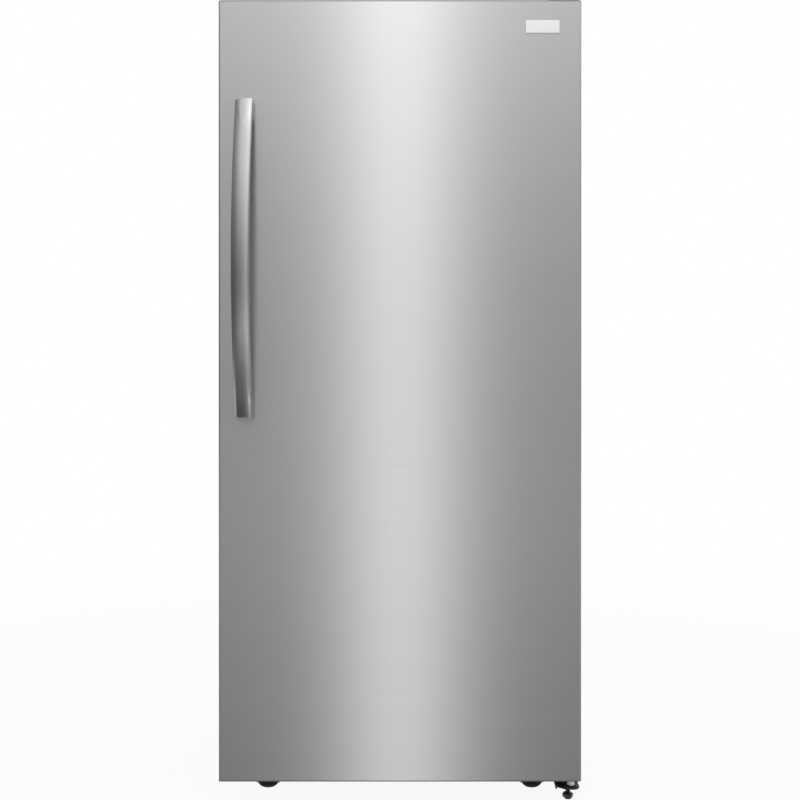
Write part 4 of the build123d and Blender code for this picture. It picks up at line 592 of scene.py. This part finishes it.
def makeLens():
    s = lensSet
    material, tree, shader = newMaterial("frostedLens")
    scale, height = s["pebble"]
    texture = grouped(tree, fineTexture, {"Scale": scale})
    soft = grouped(tree, softEdge, {"Radius": s["edge"]})["Normal"]
    low, high = s["tone"]
    weight, depth = s["subsurface"]
    feed(tree, shader, {"Base Color": blendColour(tree, texture["Cloud"], grey(low), grey(high)),
                        "Roughness": spread(tree, texture["Cloud"], *s["rough"]),
                        "Normal": bumped(tree, texture["Height"], height, soft),
                        "Subsurface Weight": weight, "Subsurface Scale": depth,
                        "Emission Color": s["glow"], "Emission Strength": s["glowStrength"]})
    return material


materials = {"zincSheet": makeZincSheet(), "frostedLens": makeLens()}
for make, kinds in ((makeFinish, finishes), (makeStainless, stainlessKinds), (makeClear, clearKinds)):
    for kindName, kindValues in kinds.items():
        materials[kindName] = make(kindName, **kindValues)
for finishName, nodeNames in madeOf.items():
    for nodeName in nodeNames:
        cad[nodeName].data.materials.clear()
        cad[nodeName].data.materials.append(materials[finishName])
print("finishes made:", len(materials))


# Shapes

def quarter(steps, start=0):
    # angles round one quarter of a circle
    return [math.pi / 2 * (start + n / steps) for n in range(steps + 1)]


def hexagonRadius(flat, turn):
    # flat: from the middle to the middle of a side
    return flat / math.cos(turn % (math.pi / 3) - math.pi / 6)


def faceOutwards(solid):
    # turns each closed shell of a bmesh so that it encloses a positive volume
    bmesh.ops.recalc_face_normals(solid, faces=solid.faces)
    seen = set()
    for start in solid.faces:
        if start in seen:
            continue
        seen.add(start)
        shell = [start]
        for face in shell:
            for edge in face.edges:
                for beside in edge.link_faces:
                    if beside not in seen:
                        seen.add(beside)
                        shell.append(beside)
        volume = 0.0
        for face in shell:
            a, *others = (corner.co for corner in face.verts)
            volume += sum(a.dot(b.cross(c)) for b, c in zip(others, others[1:]))
        if volume < 0.0:
            bmesh.ops.reverse_faces(solid, faces=shell)


def addPiece(name, verts, faces, finish, body, slot, angle=35.0, replaced=()):
    mesh = bpy.data.meshes.new(name)
    mesh.from_pydata(verts, [], faces)
    mesh.validate()
    solid = bmesh.new()
    solid.from_mesh(mesh)
    faceOutwards(solid)
    solid.to_mesh(mesh)
    solid.free()
    mesh.shade_smooth()
    mesh.set_sharp_from_angle(angle=math.radians(angle))
    mesh.materials.append(materials[finish])
    piece = bpy.data.objects.new(name, mesh)
    bpy.context.scene.collection.objects.link(piece)
    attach(piece, body)
    if replaced:
        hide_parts(*replaced)


def ringSkin(rings, closed=False, capped=False):
    # joins rings of like length with quads; closed joins the last ring to the first
    verts = [point for ring in rings for point in ring]
    count = len(rings[0])
    faces = []
    for a in range(len(rings) if closed else len(rings) - 1):
        b = (a + 1) % len(rings)
        for n in range(count):
            m = (n + 1) % count
            faces.append((a * count + n, a * count + m, b * count + m, b * count + n))
    if capped:
        last = (len(rings) - 1) * count
        faces += [tuple(reversed(range(count))), tuple(range(last, last + count))]
    return verts, faces


def lathe(outline, centre, axis, count=48, radiusAt=None):
    # outline: (along, radius) pairs; radiusAt(turn, along, radius) may shape the round
    other = {"X": (1, 2, 0), "Y": (2, 0, 1), "Z": (0, 1, 2)}[axis]
    rings = []
    for along, radius in outline:
        ring = []
        for n in range(count):
            turn = 2 * math.pi * n / count
            r = radiusAt(turn, along, radius) if radiusAt else radius
            point = list(centre)
            for k, out in zip(other, (r * math.cos(turn), r * math.sin(turn), along)):
                point[k] += out
            ring.append(tuple(point))
        rings.append(ring)
    return rings


def joined(*shapes):
    verts, faces = [], []
    for someVerts, someFaces in shapes:
        start = len(verts)
        verts += someVerts
        faces += [tuple(start + n for n in face) for face in someFaces]
    return verts, faces


# Handle bar

handleSet = {
    "bow": 0.042,               # how far the middle stands out past the ends
    "sideBow": 0.003,
    "thick": 0.015,
    "ease": 0.0008,             # broken edge of the cut ends
    "backRound": 0.002,
    "steps": 60,
    "crownSteps": 44,
    "roundSteps": 4,
    # where across the bar, from -1 to 1, and how far its face turns to the left there, in degrees
    "crown": ((-1.0, 64), (-0.95, 47), (-0.83, 37), (-0.63, 28), (-0.4, 19), (-0.1, 10.5), (0.2, 5),
              (0.4, 1.5), (0.6, -2.2), (0.75, -4.8), (0.86, -8), (0.94, -24), (0.985, -52), (1.0, -75)),
    "footHigh": 0.046,
    "footStep": 0.001,          # the feet are narrower than the bar by this on each side
    "footGap": 0.0003,          # from the feet to the bar's ends
    "footInto": 0.006,          # how far the feet reach into the bar
    "footEase": 0.0025,
    "footChamfer": 0.0006,
}


def crownTurn(across):
    knots = handleSet["crown"]
    for (a, low), (b, high) in zip(knots, knots[1:]):
        if across <= b:
            return math.radians(low + (high - low) * (across - a) / (b - a))
    return math.radians(knots[-1][1])


def handleSection(half):
    # around the bar at one height: across, and depth behind its foremost line
    count = handleSet["crownSteps"]
    front, deep = [], 0.0
    for n in range(count + 1):
        across = -math.cos(math.pi * n / count)     # closer steps towards both edges
        if front:
            turn = crownTurn((across + front[-1][0] / half) / 2)
            deep -= math.tan(turn) * (across * half - front[-1][0])
        front.append((across * half, deep))
    crest = min(depth for across, depth in front)
    r, back = handleSet["backRound"], handleSet["thick"]
    rear = [(half - r + r * math.cos(turn), back - r + r * math.sin(turn))
            for turn in quarter(handleSet["roundSteps"])]
    rear += [(-across, depth) for across, depth in reversed(rear)]
    return [(across, depth - crest) for across, depth in front] + rear


def handleFoot(x, half, bottom, front, doorFront):
    # a block with rounded corners, from the door into the bar
    s = handleSet
    r, chamfer, top = s["footEase"], s["footChamfer"], bottom + s["footHigh"]
    rings = []
    for y, swell in ((doorFront, -chamfer), (doorFront - chamfer, 0.0), (front, 0.0)):
        ring = []
        for start, (cx, cz) in enumerate(((x + half - r, top - r), (x - half + r, top - r),
                                          (x - half + r, bottom + r), (x + half - r, bottom + r))):
            ring += [(cx + (r + swell) * math.cos(turn), y, cz + (r + swell) * math.sin(turn))
                     for turn in quarter(s["roundSteps"], start)]
        rings.append(ring)
    return ringSkin(rings, capped=True)


def makeHandle():
    s = handleSet
    low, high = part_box("handle_bar")
    half = (high.x - low.x - s["sideBow"]) / 2
    endX = high.x - half
    midZ, reach = middle(low.z, high.z), (high.z - low.z) / 2
    section = handleSection(half)

    def bar(z, inset=0.0):
        # the bow is a flat arc, leaning a little to the left
        rise = 1 - ((z - midZ) / reach) ** 2
        x, y = endX - s["sideBow"] * rise, low.y + s["bow"] * (1 - rise)
        pull = 1 - inset / half
        return [(x + across * pull, y + depth + (inset if depth < s["thick"] / 2 else -inset), z)
                for across, depth in section]

    ease = s["ease"]
    heights = [low.z + ease + (2 * reach - 2 * ease) * n / s["steps"] for n in range(s["steps"] + 1)]
    rings = [bar(low.z, ease)] + [bar(z) for z in heights] + [bar(high.z, ease)]
    shapes = [ringSkin(rings, capped=True)]
    footFront = low.y + s["bow"] + s["thick"] - s["footInto"]
    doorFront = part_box("door_outer_panel")[0].y
    for bottom in (low.z + s["footGap"], high.z - s["footHigh"] - s["footGap"]):
        shapes.append(handleFoot(endX, half - s["footStep"], bottom, footFront, doorFront))
    addPiece("doorHandle", *joined(*shapes), "stainlessBar", "door", "stainless", angle=30.0,
             replaced=("handle_bar",))


# Lower hinge: leaf, web, cheeks, pin with its collar, stop lug and the leg's boss

hingeSet = {
    "leafTop": 0.0375,          # above the floor, as webLow and webHigh are
    "leaf": 0.004,              # thickness of leaf and web
    "deep": 0.034,              # the cheeks before the cabinet
    "nose": 0.0175,             # the leaf before the pin's axis
    "noseRound": 0.0171,
    "shoulder": 0.007,          # rounding of its left end
    "shoulderOut": 0.01,        # that end before the cheek
    "flank": 0.024,
    "flankX": 0.014,            # the widest point's place beside the pin's axis
    "sheet": 0.003,
    "cheekDrop": 0.0085,
    "cheekTip": 0.005,
    "webLow": 0.031,
    "webHigh": 0.072,
    "webRound": 0.006,
    "ease": 0.0008,
    "collar": 0.011,
    "collarHigh": 0.0025,
    "collarEase": 0.0005,
    "pin": 0.005,
    "pinOut": 0.0135,           # above the washer
    "pinEase": 0.0015,
    "lug": (0.0125, 0.003, 0.01),   # distance from the axis, half width, height
    "lugEase": 0.0006,
    "boss": (0.0095, 0.009),        # radius, and height under the leaf
    "around": 40,
}


def roundedOutline(corners, steps=8):
    # corners: (x, y, radius) in order round a convex outline
    points = []
    for n, (x, y, radius) in enumerate(corners):
        if not radius:
            points.append((x, y))
            continue
        here = Vector((x, y))
        before = (Vector(corners[n - 1][:2]) - here).normalized()
        after = (Vector(corners[(n + 1) % len(corners)][:2]) - here).normalized()
        half = before.angle(after) / 2
        centre = here + (before + after).normalized() * (radius / math.sin(half))
        start = here + before * (radius / math.tan(half)) - centre
        end = here + after * (radius / math.tan(half)) - centre
        for k in range(steps + 1):
            spoke = start.lerp(end, k / steps).normalized() * radius
            points.append(tuple(centre + spoke))
    return points


def shrunk(outline, by):
    # a convex outline drawn in by a little
    count = len(outline)
    area = sum(outline[n - 1][0] * outline[n][1] - outline[n][0] * outline[n - 1][1] for n in range(count))
    inward = by if area > 0 else -by
    points = []
    for n, (x, y) in enumerate(outline):
        here, a, b = Vector((x, y)), Vector(outline[n - 1]), Vector(outline[(n + 1) % count])
        along = ((here - a).normalized() + (b - here).normalized()).normalized()
        points.append((x - along.y * inward, y + along.x * inward))
    return points


def plate(outline, low, high, ease, axis="Z"):
    # an outline in the other two axes, made thick along this one, with eased edges
    order = {"X": (2, 0, 1), "Y": (0, 2, 1), "Z": (0, 1, 2)}[axis]
    rings = []
    for along, inset in ((low, ease), (low + ease, 0.0), (high - ease, 0.0), (high, ease)):
        places = [(*point, along) for point in (shrunk(outline, inset) if inset else outline)]
        rings.append([tuple(place[k] for k in order) for place in places])
    return ringSkin(rings, capped=True)


def makeLowerHinge():
    s = hingeSet
    low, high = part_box("bottom_hinge_bracket")
    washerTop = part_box("hinge_washer")[1].z
    axisX, axisY, _ = middle(*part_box("hinge_washer"))
    legX, legY, _ = middle(*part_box("leveling_leg"))
    ease, top, back = s["ease"], s["leafTop"], high.y
    under, front, tip = top - s["leaf"], back - s["deep"], axisY - s["nose"]

    def turned(x, y, outline):
        # outline: (height, radius) pairs
        return ringSkin(lathe(outline, (x, y, 0), "Z", s["around"]), capped=True)

    leaf = roundedOutline([(low.x, back, 0), (low.x, front - s["shoulderOut"], s["shoulder"]),
                           (axisX - s["flankX"], tip, s["flank"]), (high.x, tip, s["noseRound"]),
                           (high.x, back, 0)])
    web = roundedOutline([(low.x, s["webLow"], 0), (low.x, s["webHigh"], s["webRound"]),
                          (high.x, s["webHigh"], s["webRound"]), (high.x, s["webLow"], 0)])
    cheekLow = under - s["cheekDrop"]
    cheek = [(front, cheekLow), (front, top - ease), (back, top - ease), (back, s["webLow"]),
             (front + s["cheekTip"], cheekLow)]
    collar, collarTop, collarEase = s["collar"], top + s["collarHigh"], s["collarEase"]
    pin, pinTop, pinEase = s["pin"], washerTop + s["pinOut"], s["pinEase"]
    out, half, rise = s["lug"]
    lug = [(axisX - out + across * half, axisY + along * half)
           for across, along in ((-1, -1), (1, -1), (1, 1), (-1, 1))]
    boss, bossLow = s["boss"][0], under - s["boss"][1]
    shapes = [
        plate(leaf, under, top, ease),
        plate(web, back - s["leaf"], back, ease, "Y"),
        plate(cheek, low.x, low.x + s["sheet"], ease, "X"),
        plate(cheek, high.x - s["sheet"], high.x, ease, "X"),
        turned(axisX, axisY, [(under, collar - ease), (under + ease, collar),
                              (collarTop - collarEase, collar), (collarTop, collar - collarEase)]),
        turned(axisX, axisY, [(under, pin), (pinTop - pinEase, pin), (pinTop, pin - pinEase)]),
        plate(lug, top - ease, top + rise, s["lugEase"]),
        turned(legX, legY, [(bossLow, boss - ease), (bossLow + ease, boss), (under + ease, boss)]),
    ]
    addPiece("lowerHinge", *joined(*shapes), "blackSteel", "cabinet", "black_steel", angle=30.0,
             replaced=("bottom_hinge_bracket",))


# Rollers

rollerSet = {
    # over the hub: how far inside the roller's side, and radius, from the bore outwards
    "hub": ((0.0005, 0.0041), (0.0, 0.0046), (0.0, 0.008), (0.0006, 0.0085), (0.0035, 0.0089)),
    "rimEase": (0.0005, 0.0003),
    "sideways": 1.3,            # how much further the tread's rounding reaches along the axle
    "crown": 0.0006,
    "steps": 7,
    "around": 64,
    "front": {"tread": 0.0165, "rim": 0.0093},      # rounding of the tread, and where the hollow ends
    "rear": {"tread": 0.005, "rim": 0.0125},
}


def rollerOutline(half, radius, tread, rim):
    # from the bore out over one side, across the tread and back
    s = rollerSet
    along = tread * s["sideways"]
    side = [(half - inside, r) for inside, r in s["hub"]]
    easeAlong, easeOut = s["rimEase"]
    side += [(side[-1][0], rim), (half - easeAlong, rim + easeOut)]
    side += [(half - along + along * math.cos(turn), radius - tread + tread * math.sin(turn) - s["crown"])
             for turn in quarter(s["steps"])]
    side.append((0.0, radius))
    return side + [(-out, r) for out, r in reversed(side[:-1])]


def makeRollers():
    for end in ("front", "rear"):
        for side in ("left", "right"):
            node = f"roller_{end}_{side}"
            low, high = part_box(node)
            outline = rollerOutline((high.x - low.x) / 2, (high.z - low.z) / 2, **rollerSet[end])
            shape = ringSkin(lathe(outline, middle(low, high), "X", rollerSet["around"]), closed=True)
            addPiece(f"{end}{side.title()}Wheel", *shape, "rollerPlastic", f"{end}_{side}_roller",
                     "roller_plastic", replaced=(node,))


# Levelling leg

legSet = {
    "foot": 0.0115,             # height of the hexagon
    "flats": 0.022,
    "ease": 0.0032,
    "easeIn": 0.002,            # how far the rounding reaches inside the flats
    "easeSteps": 5,
    "footAround": 72,
    "centre": 0.004,            # radii: middle of the foot's underside, top of the foot, stem, its tip
    "neck": 0.0047,
    "stem": 0.0055,
    "tip": 0.0044,
    "pitch": 0.0015,
    "thread": 0.0005,
    "around": 48,
    "stepsEachTurn": 8,
}


def makeLevellingLeg():
    s = legSet
    low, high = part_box("leveling_leg")
    axis = (*middle(low, high).xy, low.z)
    flat, stem = s["flats"] / 2, s["stem"]

    def hexagon(turn, along, radius):
        return min(hexagonRadius(flat, turn), radius)

    def threaded(turn, along, radius):
        phase = (along / s["pitch"] - turn / (2 * math.pi)) % 1.0
        return radius - s["thread"] * abs(2 * phase - 1)

    inner, corner, count = flat - s["easeIn"], flat / math.cos(math.pi / 6), s["easeSteps"]
    rounding = [(s["ease"] * n / count, inner + (corner - inner) * math.sin(math.pi / 2 * n / count))
                for n in range(count + 1)]
    top = s["foot"]
    outline = [(0.0, s["centre"]), *rounding]
    outline += [(top - along, radius) for along, radius in reversed(rounding)] + [(top, s["neck"])]
    foot = ringSkin(lathe(outline, axis, "Z", s["footAround"], hexagon), capped=True)
    tall, step = high.z - low.z, s["pitch"] / s["stepsEachTurn"]
    outline = [(top + step * n, stem) for n in range(int((tall - top) / step))] + [(tall, s["tip"])]
    screw = ringSkin(lathe(outline, axis, "Z", s["around"], threaded), capped=True)
    addPiece("levellingScrew", *joined(foot, screw), "darkSteel", "levelling_leg", "black_steel",
             angle=40.0, replaced=("leveling_leg",))


# Door gasket

gasketSet = {
    "base": 0.011,              # half width
    # half of the cross section: across, and depth from the door
    "folds": ((0.011, 0.0), (0.011, 0.0014), (0.0098, 0.0024), (0.0065, 0.003), (0.0055, 0.0042),
              (0.0075, 0.0052), (0.0085, 0.0064)),
    # the magnet's strip: across, and distance from the cabinet
    "magnet": ((0.0085, 0.0016), (0.0079, 0.0005), (0.0069, 0.0)),
}


def makeGasket():
    s = gasketSet
    low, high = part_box("door_gasket")
    half, deep = s["base"], high.y - low.y
    profile = [*s["folds"], *((across, deep - short) for across, short in s["magnet"])]
    profile += [(-across, depth) for across, depth in reversed(profile)]
    rings = []
    for outX, outZ in ((-1, -1), (1, -1), (1, 1), (-1, 1)):
        x = high.x - half if outX > 0 else low.x + half
        z = high.z - half if outZ > 0 else low.z + half
        rings.append([(x + outX * across, low.y + depth, z + outZ * across) for across, depth in profile])
    addPiece("doorSeal", *ringSkin(rings, closed=True), "gasketVinyl", "door", "gasket", angle=50.0,
             replaced=("door_gasket",))


# Temperature knob and its scale

knobSet = {
    # how far the skirt stands out, and its radius there
    "skirt": ((0.0, 0.003), (0.0, 0.0156), (0.0006, 0.016), (0.0054, 0.016), (0.0064, 0.0154),
              (0.007, 0.0144), (0.0071, 0.004)),
    "around": 120,
    "flutes": 30,
    "fluteDepth": 0.0004,
    "fluteFrom": 0.014,         # the flutes lie outside this radius
    "grip": (0.0295, 0.0056, 0.0045),       # long, wide, and how far out
    "gripBack": 0.0066,
    # how far the crest is drawn in, as a share of the width, and how far out, as a share of the height
    "crest": ((0.0, 0.0), (0.0, 0.75), (0.0893, 0.93), (0.2143, 1.0)),
    "crestSteps": 6,
    "mark": (0.0075, 0.0014, 0.0004),
    "markUp": 0.00944,
    "markInto": 0.0003,
    "tick": (0.0174, 0.0202),   # the strokes' inner and outer ends
    "tickHalf": (0.0003, 0.00014),      # half width of the first, and what each next one adds
    "tickOut": (0.00012, 0.0002),       # how far out of and into the panel
    "ticks": 7,
    "sweep": 270.0,
}


def roundBar(centre, long, wide, deep):
    # a bar with round ends and an eased crest, long along Z, standing out along -Y
    s = knobSet
    x, y, z = centre
    rings = []
    for inset, out in s["crest"]:
        ring = []
        r = wide / 2 - inset * wide
        for end in (1, -1):
            for n in range(s["crestSteps"] + 1):
                turn = math.pi * n / s["crestSteps"] + (0 if end == 1 else math.pi)
                ring.append((x + r * math.cos(turn), y - deep * out,
                             z + end * (long - wide) / 2 + r * math.sin(turn)))
        rings.append(ring)
    return ringSkin(rings, capped=True)


def makeKnob():
    s = knobSet
    low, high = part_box("temperature_knob")
    x, _, z = middle(low, high)

    def fluted(turn, along, radius):
        if radius <= s["fluteFrom"]:
            return radius
        return radius - s["fluteDepth"] * (0.5 + 0.5 * math.cos(s["flutes"] * turn))

    outline = [(-out, radius) for out, radius in s["skirt"]]
    skirt = ringSkin(lathe(outline, (x, high.y, z), "Y", s["around"], fluted), capped=True)
    grip = roundBar((x, high.y - s["gripBack"], z), *s["grip"])
    addPiece("coldControl", *joined(skirt, grip), "knobPlastic", "thermostat_knob", "knob_plastic",
             angle=30.0, replaced=("temperature_knob",))
    mark = roundBar((x, low.y + s["markInto"], z + s["markUp"]), *s["mark"])
    addPiece("coldControlMark", *mark, "markInk", "thermostat_knob", "knob_plastic")
    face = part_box("control_panel")[0].y
    inner, outer = s["tick"]
    narrow, wider = s["tickHalf"]
    out, into = s["tickOut"]
    ticks = []
    for n in range(s["ticks"]):
        turn = math.radians(90 + s["sweep"] / 2 - s["sweep"] * n / (s["ticks"] - 1))
        cos, sin, half = math.cos(turn), math.sin(turn), narrow + wider * n
        corners = [(x + cos * r - sin * half * k, z + sin * r + cos * half * k)
                   for r, k in ((inner, -1), (outer, -1), (outer, 1), (inner, 1))]
        ticks.append(ringSkin([[(px, y, pz) for px, pz in corners] for y in (face - out, face + into)],
                              capped=True))
    addPiece("coldScale", *joined(*ticks), "markInk", "cabinet", "white_liner")


# Screws of the rear panels

screwSet = {
    # height and radius, over a round flange and a hexagon head
    "flange": ((-0.0003, 0.0062), (0.00036, 0.0062), (0.0006, 0.0057)),
    "head": ((0.0006, 0.0042), (0.0016, 0.0042), (0.0019, 0.0034)),
    "around": 24,
    "inset": 0.011,             # from the panel's edges
    "rows": 7,
    "rowLow": 0.03,             # the lowest and highest rows from the panel's ends
    "rowHigh": 0.02,
    "top": (-0.2, 0.0, 0.2),
    "cover": (-0.1, 0.2),       # between those at the cover's sides
    "coverInset": 0.02,
}


def rearScrew(x, z, face):
    s = screwSet
    head = s["head"][0][1]

    def hexagon(turn, along, radius):
        if radius > head:
            return radius
        return min(radius, hexagonRadius(head * math.cos(math.pi / 6), turn))

    outline = (*s["flange"], *s["head"])
    return ringSkin(lathe(outline, (x, face, z), "Y", s["around"], hexagon), capped=True)


def makeRearScrews():
    s = screwSet
    low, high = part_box("back_panel")
    coverLow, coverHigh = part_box("machine_cover")
    edge = high.x - s["inset"]
    bottom, top = low.z + s["rowLow"], high.z - s["rowHigh"]
    places = []
    for n in range(s["rows"]):
        z = bottom + (top - bottom) * n / (s["rows"] - 1)
        places += [(-edge, z), (edge, z)]
    places += [(x, high.z - s["inset"]) for x in s["top"]]
    for z in (coverLow.z + s["coverInset"], coverHigh.z - s["coverInset"]):
        places += [(x, z) for x in (-edge, *s["cover"], edge)]
    shape = joined(*(rearScrew(x, z, high.y) for x, z in places))
    addPiece("rearPanelScrews", *shape, "brightSteel", "cabinet", "bright_steel", angle=25.0)


makeHandle()
makeLowerHinge()
makeRollers()
makeLevellingLeg()
makeGasket()
makeKnob()
makeRearScrews()
print("pieces made")
